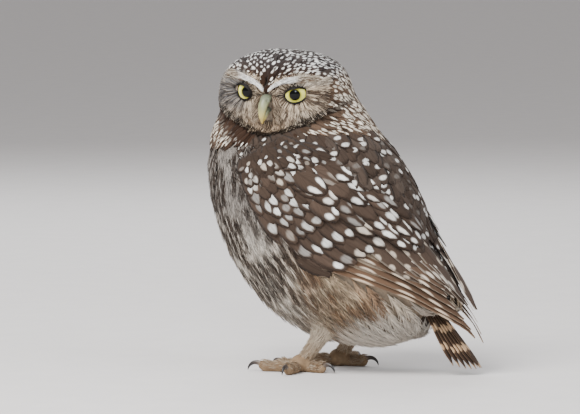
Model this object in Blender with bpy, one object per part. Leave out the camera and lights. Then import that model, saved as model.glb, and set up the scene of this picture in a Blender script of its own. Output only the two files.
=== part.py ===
"""Little owl, life size, standing, with its head turned over its left shoulder.

World frame: +Z up, the owl's body faces -Y and its left side is +X. The origin is
the bottom centre of the whole bird. All sizes below are in millimetres, and MM
turns them into metres when a mesh is made.

Body frame (x, q, d): x to the owl's left, q down the body's axis from the head
towards the tail, d from the breast towards the back.
Head frame (f, l, u): f the way the face looks, l to the head's left, u to its crown.
"""
import math

import bmesh
import bpy
import numpy as np
from mathutils import Matrix

MM = 0.001
GAP = 0.3  # clearance between nodes that touch
LEAN = math.radians(60)  # the body's axis above the horizontal

# Torso sections, from the neck down to the vent. Each is centre x, y and z, tilt of its
# depth above the horizontal in degrees, half depth, half width.
TORSO = np.array([
    [-5, -33.5, 166, 2, 35, 19],
    [-6, -33, 157, 3, 43.5, 26],
    [-5, -33, 147, 5, 49.5, 30],
    [-1.5, -30.5, 135, 10, 53.0, 37.5],
    [0, -25.5, 120.3, 18, 56.5, 45.5],
    [0, -18.6, 104.6, 25, 58.6, 49.5],
    [0, -9.6, 89.0, 29, 59.2, 50.5],
    [0, 0.5, 73.9, 31, 57.2, 49.5],
    [0, 11, 59.8, 33, 51.6, 46.5],
    [0, 22.5, 47.5, 34, 44.5, 41],
    [0, 35.5, 37.5, 34, 35, 32],
    [0, 47, 30, 36, 23, 20],
], float)
TORSO_RINGS = 22
TORSO_SIDES = 30
NECK_TOP = (-5.0, -34.0, 170.0)
VENT = (0.0, 55.0, 25.0)
# Where head, neck and torso part: height of a flat cut over the middle of the head,
# and how much it rises per millimetre to the left and to the back.
HEAD_CUT = (143.0, -0.17, 0.20)
COLLAR_CUT = (130.0, -0.05, 0.22)

# The cloak is the outer face of the folded wings and the back. Its sections are
# square to the body's axis: q, centre d, rise to the back, half width.
CLOAK = np.array([
    [-142, 30, 42, 36],
    [-120, 32, 54, 47.5],
    [-98, 33, 58.5, 52],
    [-76, 34, 59.5, 52.5],
    [-54, 36, 57.5, 50.5],
    [-32, 43, 50, 45],
    [-10, 55, 37.5, 35],
    [12, 69, 22.5, 23],
    [34, 80, 10, 13],
], float)

# Head
HEAD_AT = (0.0, -34.8, 163.0)
HEAD_YAW = math.radians(86)  # from the body's front towards its left
HEAD_PITCH = math.radians(8)  # downwards
HEAD_ROLL = math.radians(2.5)  # towards the head's left
HEAD_FRONT = 26.5
HEAD_BACK = 32.5
HEAD_SIDE = 40.2
HEAD_CROWN = 28.0
HEAD_CHIN = 29.0
HEAD_POWER = 2.5  # 2 is an ellipsoid, more is boxier
HEAD_RINGS = 20
HEAD_SIDES = 36

EYE_RADIUS = 8.2
EYE_F = 17.2  # the ball's centre in the head's frame
EYE_L = 14.8
EYE_U = 7.5
EYE_TURN = math.radians(18)  # how far each eye looks outwards
EYE_RINGS = 8
EYE_SIDES = 14
LID_HALF_WIDTH = 7.3
LID_ABOVE = 4.7  # the upper lid hides the top of the iris
LID_BELOW = 6.5
LID_RADIUS = 1.15

# Bill: stations along its curve. Each is f, u, half width, half depth.
UPPER_BILL = np.array([
    [23.0, 4.8, 3.0, 3.2],
    [29.2, 4.8, 3.5, 3.8],
    [33.6, 1.2, 3.4, 3.5],
    [35.6, -3.8, 2.5, 2.5],
    [34.8, -8.8, 0.7, 0.8],
], float)
LOWER_BILL = np.array([
    [24.0, -1.8, 2.3, 2.2],
    [28.8, -3.0, 2.6, 2.3],
    [31.6, -5.4, 2.1, 1.9],
    [33.0, -7.8, 0.9, 0.8],
], float)
NOSTRIL = (32.2, 2.8, 4.4)  # f, l, u
NOSTRIL_RADIUS = 0.75

# Legs, as world places before the origin is set. The right side swaps x.
HIP = {"left": (21.0, 2.0, 50.0), "right": (-21.0, 5.0, 50.0)}
KNEE = {"left": (21.5, 0.0, 34.0), "right": (-21.5, 6.0, 34.0)}
ANKLE = {"left": (20.5, -6.6, 20.0), "right": (-21.5, 0.5, 19.5)}
FOOT = {"left": (20.5, -17.4, 5.0), "right": (-21.5, -8.0, 5.0)}
FOOT_TURN = {"left": 2.0, "right": 10.0}  # degrees outwards
THIGH_RADII = (9.0, 13.5, 12.5, 8.2, 6.4)
TARSUS_RADII = (5.4, 4.6, 4.4, 4.6, 4.2)
PAD_RADIUS = 6.6
PAD_HEIGHT = 5.7
# Each toe: degrees from straight ahead towards the outer side, root shift to the
# outer side, length of the toe.
TOES = {
    "hallux": (163, 0.0, 12.5),
    "inner": (-30, -3.4, 16.0),
    "middle": (4, 2.6, 20.5),
    "outer": (86, 1.0, 18.0),
}
TOE_ROOT = 4.4  # from the foot's centre
TOE_HALF_WIDTH = 3.1
TOE_HALF_HEIGHT = 3.8
TOE_FLAT = 0.8  # how much of a toe's underside is cut flat by the floor
CLAW_RADIUS = 1.35
CLAW_LENGTH = 10.0
CLAW_RISE = math.radians(30)
CLAW_FALL = math.radians(-88)

# Tail
TAIL_ROOT_Q = -16.0
TAIL_TIP_Q = 41.0
TAIL_ROOT_D = 70.0
TAIL_SLOPE = 0.13  # how much further back the tail is for each millimetre down it
TAIL_PAIRS = 6
TAIL_ROOT_SPACING = 1.4  # from one feather's shaft to the next
TAIL_TIP_SPACING = 2.3
TAIL_CORE_END = -2.0
TAIL_CORE_DEPTH = 1.9
TAIL_ROOM = 2.6  # half the height that the torso leaves free for the tail

# Wing, over the cloak. s runs from the wrist to the wing's tip, t from the lower
# edge up to the back.
WING_Q0 = -131.0
WING_TIP_Q = {1: 25.5, -1: 30.0}  # the right wing's tip lies further down
LOWER_EDGE = np.array([-13, -14, -11.5, -6, 5, 17, 32, 60], float)  # degrees on the cloak
UPPER_EDGE = np.array([26, 46, 61, 69, 76, 80, 83, 84], float)
WING_DEPTH = 4.8
WING_GRID = (np.linspace(0.0, 1.0, 20), np.linspace(0.0, 1.0, 9))
WING_CORE_ROWS = 12  # how many of the grid's rows the solid core spans
MIDLINE_GAP = 0.2  # the wings' clearance from the middle of the back
VANE_THICK = 0.55
VANE_STEP = 0.92  # how much higher each feather of a tier lies than the one below it
VANE_STEEPEST = 0.4
VANE_OVERLAP = 0.62  # half width of a feather over the spacing of the tier
VANE_PLACES = (0.0, 0.3, 0.65, 0.9, 1.0)  # along a vane, where its width is given
VANE_WIDTHS = (0.6, 1.0, 1.0, 0.75, 0.25)
# Tiers of wing feathers, lowest tier first. Each has its number of feathers, how much each
# is tilted over the one below it, how soon they rise (1 is evenly, less is sooner), and rows
# from its lowest feather to its highest: root s and t, tip s and t, least half width, height
# of the root and the tip over the cloak.
TIERS = {
    "flight": (12, VANE_STEP, 2.0, [
        [0.44, 0.06, 1.00, 0.30, 2.6, -3.4, -2.2],
        [0.44, 0.24, 0.88, 0.46, 2.6, -3.4, -2.0],
        [0.44, 0.48, 0.79, 0.60, 2.6, -3.4, -1.9],
        [0.44, 0.72, 0.79, 0.80, 2.6, -3.4, -1.8],
        [0.44, 0.92, 0.87, 0.93, 2.6, -3.4, -1.8],
    ]),
    "greater_coverts": (8, VANE_STEP, 0.6, [
        [0.22, 0.08, 0.52, 0.08, 3.5, -3.2, -1.3],
        [0.27, 0.30, 0.57, 0.31, 3.5, -3.2, -1.0],
        [0.38, 0.86, 0.69, 0.88, 3.5, -3.2, -0.8],
    ]),
    "median_coverts": (5, VANE_STEP, 0.6, [
        [0.14, 0.14, 0.40, 0.20, 4.0, -3.0, 0.2],
        [0.25, 0.74, 0.53, 0.78, 4.0, -3.0, 0.4],
    ]),
    "scapulars": (5, 0.0, 1.0, [
        [0.07, 0.56, 0.33, 0.60, 5.5, -3.0, 1.2],
        [0.32, 0.88, 0.62, 0.89, 5.5, -3.0, 1.2],
    ]),
}


def material(name, colour, roughness):
    made = bpy.data.materials.new(name)
    made.use_nodes = True
    shader = made.node_tree.nodes["Principled BSDF"]
    shader.inputs["Base Color"].default_value = (*colour, 1.0)
    shader.inputs["Roughness"].default_value = roughness
    shader.inputs["Metallic"].default_value = 0.0
    return made


def smooth_rows(rows, t):
    """Catmull-Rom curve through equally spaced rows, read at t from 0 to 1."""
    last = len(rows) - 1
    place = np.clip(np.asarray(t, float), 0, 1) * last
    k = np.minimum(place.astype(int), last - 1)
    f = place - k
    if rows.ndim > 1:
        f = f[..., None]
    p0 = rows[np.maximum(k - 1, 0)]
    p1 = rows[k]
    p2 = rows[k + 1]
    p3 = rows[np.minimum(k + 2, last)]
    return p1 + 0.5 * f * (
        p2 - p0 + f * (2 * p0 - 5 * p1 + 4 * p2 - p3 + f * (3 * (p1 - p2) + p3 - p0))
    )


def from_body(x, q, d):
    """World place of body frame coordinates."""
    x, q, d = np.broadcast_arrays(x, q, d)
    y = q * math.cos(LEAN) + d * math.sin(LEAN)
    z = d * math.cos(LEAN) - q * math.sin(LEAN)
    return np.stack([x, y, z], -1).astype(float)


def head_axes():
    """The head's forward, left and up directions in the world, as rows."""
    turn = Matrix.Rotation(HEAD_YAW, 3, "Z")
    tip = Matrix.Rotation(HEAD_PITCH, 3, "X")
    roll = Matrix.Rotation(HEAD_ROLL, 3, "Y")
    m = np.array(turn @ tip @ roll)
    return np.array([-m[:, 1], m[:, 0], m[:, 2]])


HEAD_AXES = head_axes()


def from_head(points):
    """World place of head frame coordinates (f, l, u)."""
    return np.asarray(points, float) @ HEAD_AXES + np.array(HEAD_AT)


def new_object(name, points, faces, look=None):
    """A mesh object from millimetre points, with its faces turned outwards."""
    mesh = bpy.data.meshes.new(name)
    mesh.from_pydata((np.asarray(points) * MM).tolist(), [], faces)
    work = bmesh.new()
    work.from_mesh(mesh)
    bmesh.ops.recalc_face_normals(work, faces=work.faces)
    bmesh.ops.triangulate(work, faces=work.faces)
    work.to_mesh(mesh)
    work.free()
    if look is not None:
        mesh.materials.append(look)
    made = bpy.data.objects.new(name, mesh)
    bpy.context.scene.collection.objects.link(made)
    return made


def ring_faces(rings, sides):
    """Quads between closed rings of points that follow one another."""
    faces = []
    for i in range(rings - 1):
        for j in range(sides):
            a = i * sides + j
            b = i * sides + (j + 1) % sides
            faces.append((a, b, b + sides, a + sides))
    return faces


def ringed(name, rings, start=None, end=None, look=None):
    """A closed body from rings of points (rings, sides, 3). An end is a pole, or flat if None."""
    count, sides, _ = rings.shape
    points = [rings.reshape(-1, 3)]
    faces = ring_faces(count, sides)
    total = count * sides
    for pole, first in ((start, 0), (end, total - sides)):
        if pole is None:
            faces.append(tuple(range(first, first + sides)))
            continue
        index = sum(len(p) for p in points)
        points.append(np.asarray(pole, float).reshape(1, 3))
        for j in range(sides):
            faces.append((first + j, first + (j + 1) % sides, index))
    return new_object(name, np.concatenate(points), faces, look)


def slab(name, top, bottom, look=None):
    """A closed sheet between two grids of points (rows, columns, 3), split alike on both faces."""
    rows, columns, _ = top.shape
    size = rows * columns
    faces = []
    for i in range(rows - 1):
        for j in range(columns - 1):
            a = i * columns + j
            b = a + columns
            for shift in (0, size):
                faces.append((a + shift, a + 1 + shift, b + 1 + shift))
                faces.append((a + shift, b + 1 + shift, b + shift))
    rim = [j for j in range(columns)]
    rim += [i * columns + columns - 1 for i in range(1, rows)]
    rim += [(rows - 1) * columns + j for j in range(columns - 2, -1, -1)]
    rim += [i * columns for i in range(rows - 2, 0, -1)]
    for a, b in zip(rim, rim[1:] + rim[:1]):
        faces.append((a, b, b + size, a + size))
    points = np.concatenate([top.reshape(-1, 3), bottom.reshape(-1, 3)])
    return new_object(name, points, faces, look)


def across(path, up):
    """For each point of a path, its side and top directions, square to the path."""
    along = np.gradient(path, axis=0)
    along /= np.linalg.norm(along, axis=1)[:, None]
    side = np.cross(np.broadcast_to(up, path.shape), along)
    side /= np.linalg.norm(side, axis=1)[:, None]
    return side, np.cross(along, side)


def tube_rings(path, half_wide, half_high, sides, up=(0, 0, 1)):
    """Elliptic rings round a path."""
    path = np.asarray(path, float)
    side, top = across(path, up)
    turn = np.linspace(0, 2 * math.pi, sides, endpoint=False)
    wide = np.broadcast_to(half_wide, len(path))[:, None, None]
    high = np.broadcast_to(half_high, len(path))[:, None, None]
    round_side = np.cos(turn)[None, :, None] * side[:, None, :] * wide
    round_top = np.sin(turn)[None, :, None] * top[:, None, :] * high
    return path[:, None, :] + round_side + round_top


def boolean(target, operation, pieces, solver="EXACT"):
    """Applies one Boolean of many closed pieces to the target, and removes the pieces."""
    group = bpy.data.collections.new("pieces")
    bpy.context.scene.collection.children.link(group)
    for piece in pieces:
        for holder in list(piece.users_collection):
            holder.objects.unlink(piece)
        group.objects.link(piece)
    modifier = target.modifiers.new("join", "BOOLEAN")
    modifier.operation = operation
    modifier.solver = solver
    modifier.operand_type = "COLLECTION"
    modifier.collection = group
    graph = bpy.context.evaluated_depsgraph_get()
    made = bpy.data.meshes.new_from_object(target.evaluated_get(graph))
    target.modifiers.clear()
    old = target.data
    target.data = made
    bpy.data.meshes.remove(old)
    for piece in pieces:
        bpy.data.objects.remove(piece)
    bpy.data.collections.remove(group)
    keep_largest(target)
    return target


def box_size(island):
    """The diagonal of the box round an island of vertices."""
    co = np.array([v.co for v in island])
    return float(np.linalg.norm(co.max(0) - co.min(0)))


def keep_largest(obj):
    """Keeps only the largest closed surface of a mesh."""
    work = bmesh.new()
    work.from_mesh(obj.data)
    unseen = set(work.verts)
    islands = []
    while unseen:
        edge = [unseen.pop()]
        island = set(edge)
        while edge:
            vert = edge.pop()
            for link in vert.link_edges:
                other = link.other_vert(vert)
                if other in unseen:
                    unseen.discard(other)
                    island.add(other)
                    edge.append(other)
        islands.append(island)
    islands.sort(key=box_size, reverse=True)
    for island in islands[1:]:
        bmesh.ops.delete(work, geom=list(island), context="VERTS")
    work.to_mesh(obj.data)
    work.free()


def part_of(whole, name, look, planes):
    """A copy of the whole, cut flat by each plane, given as a point and its outward normal."""
    made = bpy.data.objects.new(name, whole.data.copy())
    bpy.context.scene.collection.objects.link(made)
    work = bmesh.new()
    work.from_mesh(made.data)
    for point, normal in planes:
        bmesh.ops.bisect_plane(
            work,
            geom=work.verts[:] + work.edges[:] + work.faces[:],
            plane_co=[c * MM for c in point],
            plane_no=normal,
            clear_outer=True,
            dist=1e-7,
        )
        rim = [e for e in work.edges if e.is_boundary]
        filled = bmesh.ops.holes_fill(work, edges=rim, sides=0)
        bmesh.ops.triangulate(work, faces=filled["faces"])
    bmesh.ops.recalc_face_normals(work, faces=work.faces)
    work.to_mesh(made.data)
    work.free()
    made.data.materials.clear()
    made.data.materials.append(look)
    keep_largest(made)
    return made


def torso_form():
    """The torso and neck as one body, from rings on its smooth sections."""
    t = np.linspace(0, 1, TORSO_RINGS)
    x, y, z, tilt, depth, width = smooth_rows(TORSO, t).T[:, :, None]
    tilt = np.radians(tilt)
    angle = np.linspace(0, 2 * math.pi, TORSO_SIDES, endpoint=False)[None, :]
    back = depth * np.sin(angle)
    x = x + width * np.cos(angle)
    rings = np.stack([x, y + back * np.cos(tilt), z + back * np.sin(tilt)], -1)
    return ringed("whole", rings, NECK_TOP, VENT)


def brow_height(side):
    """Height of the brow's ridge in the face, at a distance to one side."""
    return EYE_U + 1.0 + 8.5 * np.tanh(np.abs(side) / 10.0)


def face_relief(side, up):
    """How far the face stands forward of the plain head."""
    eye_side = (np.abs(side) - EYE_L - 2.5) / 8.5
    eye_up = (up - EYE_U + 1.0) / 8.0
    socket = -3.0 * np.exp(-(eye_side**2) - eye_up**2)
    brow = 2.4 * np.exp(-(((up - brow_height(side)) / 4.0) ** 2))
    brow = brow * np.exp(-((np.abs(side) / 24.0) ** 4))
    bridge = 2.2 * np.exp(-((side / 4.5) ** 2) - ((up - 2.0) / 8.0) ** 2)
    cheek = 1.8 * np.exp(-(((np.abs(side) - 10) / 9.0) ** 2) - ((up + 11) / 6.0) ** 2)
    rim = np.sqrt((side / 33.0) ** 2 + ((up - 1.0) / 21.0) ** 2)
    disc = 1.4 * np.exp(-(((rim - 1.0) / 0.14) ** 2)) * np.clip((12 - up) / 8, 0, 1)
    return socket + brow + bridge + cheek + disc


def head_surface(polar, turn):
    """Head frame point: polar is the angle from the face's axis, turn goes round it."""
    f = np.cos(polar) * np.ones_like(turn)
    side = np.sin(polar) * np.cos(turn)
    up = np.sin(polar) * np.sin(turn)
    half_f = np.where(f > 0, HEAD_FRONT, HEAD_BACK)
    half_u = np.where(up > 0, HEAD_CROWN, HEAD_CHIN)
    total = np.abs(f / half_f) ** HEAD_POWER
    total = total + np.abs(side / HEAD_SIDE) ** HEAD_POWER
    total = total + np.abs(up / half_u) ** HEAD_POWER
    reach = total ** (-1 / HEAD_POWER)
    point = np.stack([f * reach, side * reach, up * reach], -1)
    forward = np.clip(f * 2.2, 0, 1)
    point[..., 0] += face_relief(point[..., 1], point[..., 2]) * forward
    return point


def head_form():
    t = np.linspace(0, 1, HEAD_RINGS + 2)[1:-1, None]
    polar = math.pi * t**1.12
    turn = np.linspace(0, 2 * math.pi, HEAD_SIDES, endpoint=False)[None, :]
    rings = from_head(head_surface(polar, turn))
    face = from_head(head_surface(np.array(0.0), np.array(0.0)))
    nape = from_head(head_surface(np.array(math.pi), np.array(0.0)))
    return ringed("head_form", rings, face, nape)


def eye_frame(sign):
    """Centre of an eyeball and its outward axis, side and up, in the head's frame."""
    axis = np.array([math.cos(EYE_TURN), sign * math.sin(EYE_TURN), 0.0])
    side = np.array([-math.sin(EYE_TURN), sign * math.cos(EYE_TURN), 0.0])
    return np.array([EYE_F, sign * EYE_L, EYE_U]), axis, side, np.array([0.0, 0.0, 1.0])


def eyeball(name, sign, grow=0.0, look=None):
    centre, axis, side, up = eye_frame(sign)
    radius = EYE_RADIUS + grow
    polar = np.linspace(0, math.pi, EYE_RINGS + 2)[1:-1, None, None]
    turn = np.linspace(0, 2 * math.pi, EYE_SIDES, endpoint=False)[None, :, None]
    rings = np.cos(polar) * axis + np.sin(polar) * (np.cos(turn) * side + np.sin(turn) * up)
    rings = from_head(centre + radius * rings)
    ends = [from_head(centre + radius * axis), from_head(centre - radius * axis)]
    return ringed(name, rings, ends[0], ends[1], look)


def lid_ring(sign):
    """The lids: one closed tube round the eye's opening, lying on the ball."""
    centre, axis, side, up = eye_frame(sign)
    turn = np.linspace(0, 2 * math.pi, 20, endpoint=False)
    tall = np.where(np.sin(turn) > 0, LID_ABOVE, LID_BELOW)
    flat_side = LID_HALF_WIDTH * np.cos(turn)
    flat_up = tall * np.sin(turn)
    reach = EYE_RADIUS + 0.5
    out = np.sqrt(reach**2 - flat_side**2 - flat_up**2)
    path = out[:, None] * axis + flat_side[:, None] * side + flat_up[:, None] * up
    tangent = np.roll(path, -1, 0) - np.roll(path, 1, 0)
    tangent /= np.linalg.norm(tangent, axis=1)[:, None]
    normal = path / np.linalg.norm(path, axis=1)[:, None]
    beside = np.cross(tangent, normal)
    sides = 6
    ring = np.linspace(0, 2 * math.pi, sides, endpoint=False)[None, :, None]
    rings = path[:, None] + LID_RADIUS * (
        np.cos(ring) * normal[:, None] + np.sin(ring) * beside[:, None]
    )
    faces = ring_faces(len(path), sides)
    last = (len(path) - 1) * sides
    for j in range(sides):
        k = (j + 1) % sides
        faces.append((last + j, last + k, k, j))
    return new_object("lid", from_head(centre + rings.reshape(-1, 3)), faces)


def bill(name, stations, grow=0.0, look=None, sides=12):
    """One half of the bill, tapering along its curve."""
    t = np.linspace(0, 1, 8)
    f, u, wide, deep = smooth_rows(stations, t).T
    path = np.stack([f, np.zeros_like(f), u], -1)
    rings = tube_rings(path, wide + grow, deep + grow, sides, up=(0, 1, 0.001))
    first = path[0] - (path[1] - path[0]) * 0.2
    last = path[-1] + (path[-1] - path[-2]) * (0.3 + grow * 0.2)
    return ringed(name, from_head(rings), from_head(first), from_head(last), look)


def leg_tube(name, points, radii, grow=0.0, sides=14, look=None, flat_start=False, flat_end=False):
    """A tapering limb through a few places, its ends flat or rounded."""
    t = np.linspace(0, 1, 9)
    path = smooth_rows(np.array(points, float), t)
    size = smooth_rows(np.array(radii, float), t) + grow
    rings = tube_rings(path, size, size, sides, up=(0, 1, 0.3))
    rings[..., 2] = np.maximum(rings[..., 2], 0.0)
    along_start = (path[0] - path[1]) / np.linalg.norm(path[0] - path[1])
    along_end = (path[-1] - path[-2]) / np.linalg.norm(path[-1] - path[-2])
    start = None if flat_start else path[0] + along_start * size[0] * 0.45
    end = None if flat_end else path[-1] + along_end * size[-1] * 0.45
    if end is not None:
        end[2] = max(end[2], 0.0)
    return ringed(name, rings, start, end, look)


def thigh(side, grow=0.0, look=None):
    places = (HIP[side], KNEE[side], ANKLE[side])
    return leg_tube(f"thigh_{side}", places, THIGH_RADII[::2], grow, look=look, flat_end=True)


def unit(vector):
    vector = np.asarray(vector, float)
    return vector / np.linalg.norm(vector)


def foot_pad(side):
    """The ball of the foot, flat where it rests on the floor."""
    polar = np.linspace(0, math.pi, 8)[1:-1, None, None]
    turn = np.linspace(0, 2 * math.pi, 12, endpoint=False)[None, :, None]
    level = np.cos(turn) * [1.0, 0, 0] + np.sin(turn) * [0, 1.0, 0]
    rings = np.sin(polar) * level * PAD_RADIUS + np.cos(polar) * [0, 0, PAD_HEIGHT]
    rings = rings + np.array(FOOT[side])
    rings[..., 2] = np.maximum(rings[..., 2], 0.0)
    top = np.array(FOOT[side]) + [0, 0, PAD_HEIGHT]
    return ringed("pad", rings, top, np.array(FOOT[side]) * [1, 1, 0])


def tarsus(side, look):
    """The shank and the ball of the foot, cut to meet the thigh and the toes."""
    ankle = np.array(ANKLE[side])
    foot = np.array(FOOT[side])
    start = ankle + unit(np.array(KNEE[side]) - ankle) * 2.0
    path = smooth_rows(np.array([start, ankle * 0.5 + foot * 0.5, foot]), np.linspace(0, 1, 6))
    size = smooth_rows(np.array(TARSUS_RADII, float), np.linspace(0, 1, 6))
    rings = tube_rings(path, size, size, 12, up=(0, 1, 0.3))
    made = ringed(f"tarsus_{side}", rings, None, None, look)
    boolean(made, "UNION", [foot_pad(side)])
    cuts = [toe_body(side, toe, GAP) for toe in TOES]
    return boolean(made, "DIFFERENCE", [*cuts, thigh(side, GAP)])


def toe_heading(side, degrees):
    """Compass direction of a toe in the world."""
    turn = math.radians(degrees + FOOT_TURN[side])
    sign = 1 if side == "left" else -1
    return np.array([sign * math.sin(turn), -math.cos(turn), 0.0])


def toe_line(side, toe):
    """Start, heading and length of a toe."""
    degrees, shift, length = TOES[toe]
    heading = toe_heading(side, degrees)
    outer = toe_heading(side, 90)
    start = np.array(FOOT[side]) + outer * shift + heading * TOE_ROOT
    start[2] = TOE_HALF_HEIGHT - TOE_FLAT
    return start, heading, length


def upright(ring, place, heading):
    """A ring pressed flat into the upright plane through a place, square to a level heading."""
    return ring - ((ring - place) @ heading)[:, None] * heading


def toe_body(side, toe, grow=0.0, look=None):
    """A toe with its joint pads, flat on the floor, ending in a flat face for the claw."""
    start, heading, length = toe_line(side, toe)
    t = np.linspace(0, 1, 8)
    lift = 1.9 * np.clip((t - 0.7) / 0.3, 0, 1) ** 2
    path = start + heading * (t * length)[:, None] + np.array([0, 0, 1.0]) * lift[:, None]
    pads = 1 + 0.09 * np.cos(2 * math.pi * 2.5 * t)
    taper = np.interp(t, [0, 0.15, 0.8, 0.93, 1.0], [0.72, 0.95, 0.95, 0.78, 0.5])
    wide = TOE_HALF_WIDTH * pads * taper + grow
    high = TOE_HALF_HEIGHT * pads * taper + grow
    rings = tube_rings(path, wide, high, 8)
    rings[-1] = upright(rings[-1], path[-1], heading)
    rings[..., 2] = np.maximum(rings[..., 2], -grow)
    return ringed(f"toe_{side}_{toe}", rings, None, None, look)


def claw(side, toe, look):
    """A claw, curving from the toe's flat end down to just above the floor."""
    start, heading, length = toe_line(side, toe)
    base = start + heading * (length + GAP) + np.array([0, 0, 1.9])
    steps = 7
    bend = np.linspace(CLAW_RISE, CLAW_FALL, steps)
    step = CLAW_LENGTH / (steps - 1)
    run = np.concatenate([[0], np.cumsum(np.cos(bend[:-1]) * step)])
    rise = np.concatenate([[0], np.cumsum(np.sin(bend[:-1]) * step)])
    path = base + heading * run[:, None] + np.array([0, 0, 1.0]) * rise[:, None]
    size = CLAW_RADIUS * np.linspace(1, 0.18, steps) ** 0.8
    rings = tube_rings(path, size, size * 1.15, 6)
    rings[0] = upright(rings[0], base, heading)
    rings[..., 2] = np.maximum(rings[..., 2], 0.35)
    return ringed(f"claw_{side}_{toe}", rings, None, None, look)


def cloak_point(q, angle, height):
    """World point over the cloak, a height above it: angle 0 is the side, 90 degrees the back."""
    t = np.interp(q, CLOAK[:, 0], np.linspace(0, 1, len(CLOAK)))
    sizes = smooth_rows(CLOAK, t)
    middle, rise, width = sizes[..., 1], sizes[..., 2], sizes[..., 3]
    x = (width + height) * np.cos(angle)
    return x, q, middle + (rise + height) * np.sin(angle)


def wing_point(s, t, height, sign):
    """World point over the wing, a height above the cloak."""
    q = WING_Q0 + (WING_TIP_Q[sign] - WING_Q0) * s
    low = np.radians(smooth_rows(LOWER_EDGE, s))
    high = np.radians(smooth_rows(UPPER_EDGE, s))
    angle = low + (high - low) * t
    x, q, d = cloak_point(q, angle, height)
    return from_body(x * sign, q, d)


def wing_sheet(name, s, t, top, bottom, sign, look=None):
    """A closed sheet over the wing between two heights."""
    s = np.asarray(s, float)[:, None]
    t = np.asarray(t, float)[None, :]
    top = np.broadcast_to(top, (s.shape[0], t.shape[1]))
    bottom = np.broadcast_to(bottom, (s.shape[0], t.shape[1]))
    nose = np.clip(s / 0.10, 0.0, 1.0) ** 0.5
    centre = 0.45
    t = centre + (t - centre) * (0.35 + 0.65 * nose)
    upper = wing_point(s, t, top, sign)
    lower = wing_point(s, t, bottom, sign)
    return slab(name, upper, lower, look)


def wing_edge(t):
    """Falls from 1 in the wing's middle to a quarter at its lower and upper edges."""
    return np.minimum(1, 4 * np.minimum(t, 1 - t) + 0.25)[None, :]


def wing_bottom(s, t):
    """How deep the wing's inner face lies under the cloak."""
    thin = np.interp(s, [0, 0.1], [0.5, 1])[:, None]
    return np.minimum(-WING_DEPTH * thin * (0.8 + 0.2 * wing_edge(t)) - 0.6, -5.0)


def wing_core(side, look):
    """The solid wing under its feathers, from the wrist to the roots of the flight feathers."""
    sign = 1 if side == "left" else -1
    s = WING_GRID[0][:WING_CORE_ROWS]
    t = WING_GRID[1]
    nose = np.interp(s, [0.0, 0.2], [1.2, 0.0])[:, None]
    top = nose - 2.3 - 0.6 * (1 - wing_edge(t))
    return wing_sheet(f"wing_{side}", s, t, top, wing_bottom(s, t), sign, look)


def shingles(middle, outward, upward, least, step, sign):
    """Feathers side by side, each over the near edge of the one before it, as solid sheets.

    Arrays are (feathers, places along, 3). The step is how much higher each one is to lie
    than the one before, got by tilting them and, where they crowd, by lifting them.
    """
    forward = np.gradient(middle, axis=1)
    forward /= np.linalg.norm(forward, axis=-1)[..., None]
    upward = upward - (upward * forward).sum(-1)[..., None] * forward
    upward /= np.linalg.norm(upward, axis=-1)[..., None]
    apart = np.gradient(middle, axis=0)
    spacing = np.maximum((apart * upward).sum(-1), 0.1)
    slope = np.minimum(step / spacing, VANE_STEEPEST)
    lift = np.cumsum(np.maximum(step - slope * spacing, 0.0), axis=0)
    middle = middle + outward * (lift - lift.mean(0) * 0.5)[..., None]
    reach = np.maximum(spacing * VANE_OVERLAP, least) * np.array(VANE_WIDTHS)
    tilted = (upward - outward * slope[..., None]) * reach[..., None]
    top = np.stack([middle - tilted, middle + tilted], 2)
    bottom = top - outward[:, :, None, :] * VANE_THICK
    for sheet in (top, bottom):
        sheet[..., 0] = sign * clear_of_midline(sheet[..., 0] * sign)
    return [slab("vane", top[k], bottom[k]) for k in range(len(middle))]


def tier_vanes(tier, sign):
    """The feathers of one tier of a wing."""
    count, step, power, rows = TIERS[tier]
    rows = smooth_rows(np.array(rows, float), np.linspace(0, 1, count))
    root_s, root_t, tip_s, tip_t, least, root_height, tip_height = rows.T[:, :, None]
    along = np.array(VANE_PLACES)[None, :]
    s = root_s + (tip_s - root_s) * along
    t = root_t + (tip_t - root_t) * along
    height = root_height + (tip_height - root_height) * along**power
    middle = wing_point(s, t, height, sign)
    outward = wing_point(s, t, height + 1.0, sign) - middle
    upward = wing_point(s, t + 0.01, height, sign) - middle
    return shingles(middle, outward, upward, least, step, sign)


def clear_of_midline(x):
    """Bends what would cross the middle of the back smoothly to this side of it."""
    return MIDLINE_GAP + 0.25 * np.log1p(np.exp(-np.abs(x) / 0.25)) + np.maximum(x, 0.0)


def wing(side, look):
    sign = 1 if side == "left" else -1
    vanes = []
    for tier in TIERS:
        vanes += tier_vanes(tier, sign)
    return boolean(wing_core(side, look), "UNION", vanes, "MANIFOLD")


def wing_cutter(sign):
    """What the torso and neck leave free for a wing."""
    s = np.array([-0.012, *WING_GRID[0], 1.05])
    t = np.array([-0.06, *WING_GRID[1], 1.06])
    return wing_sheet("wing_cutter", s, t, 14.0, wing_bottom(s, t) - GAP, sign)


def tail_back(q):
    """How far back the tail's middle lies, along it."""
    return TAIL_ROOT_D + TAIL_SLOPE * (q - TAIL_ROOT_Q)


def tail_plate(name, end, half, grow=0.0, look=None):
    """A flat, widening tail from its root to an end place, used for its core and its socket."""
    q = np.linspace(TAIL_ROOT_Q - grow, end, 5)[:, None]
    side = np.linspace(-1, 1, 7)[None, :]
    wide = np.interp(q, [TAIL_ROOT_Q, 0, 30, TAIL_TIP_Q], [7.0, 11.5, 14.5, 15.0]) + grow
    d = tail_back(q) - 2.4 * side**2
    top = from_body(side * wide, q, d + half)
    bottom = from_body(side * wide, q, d - half)
    return slab(name, top, bottom, look)


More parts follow.
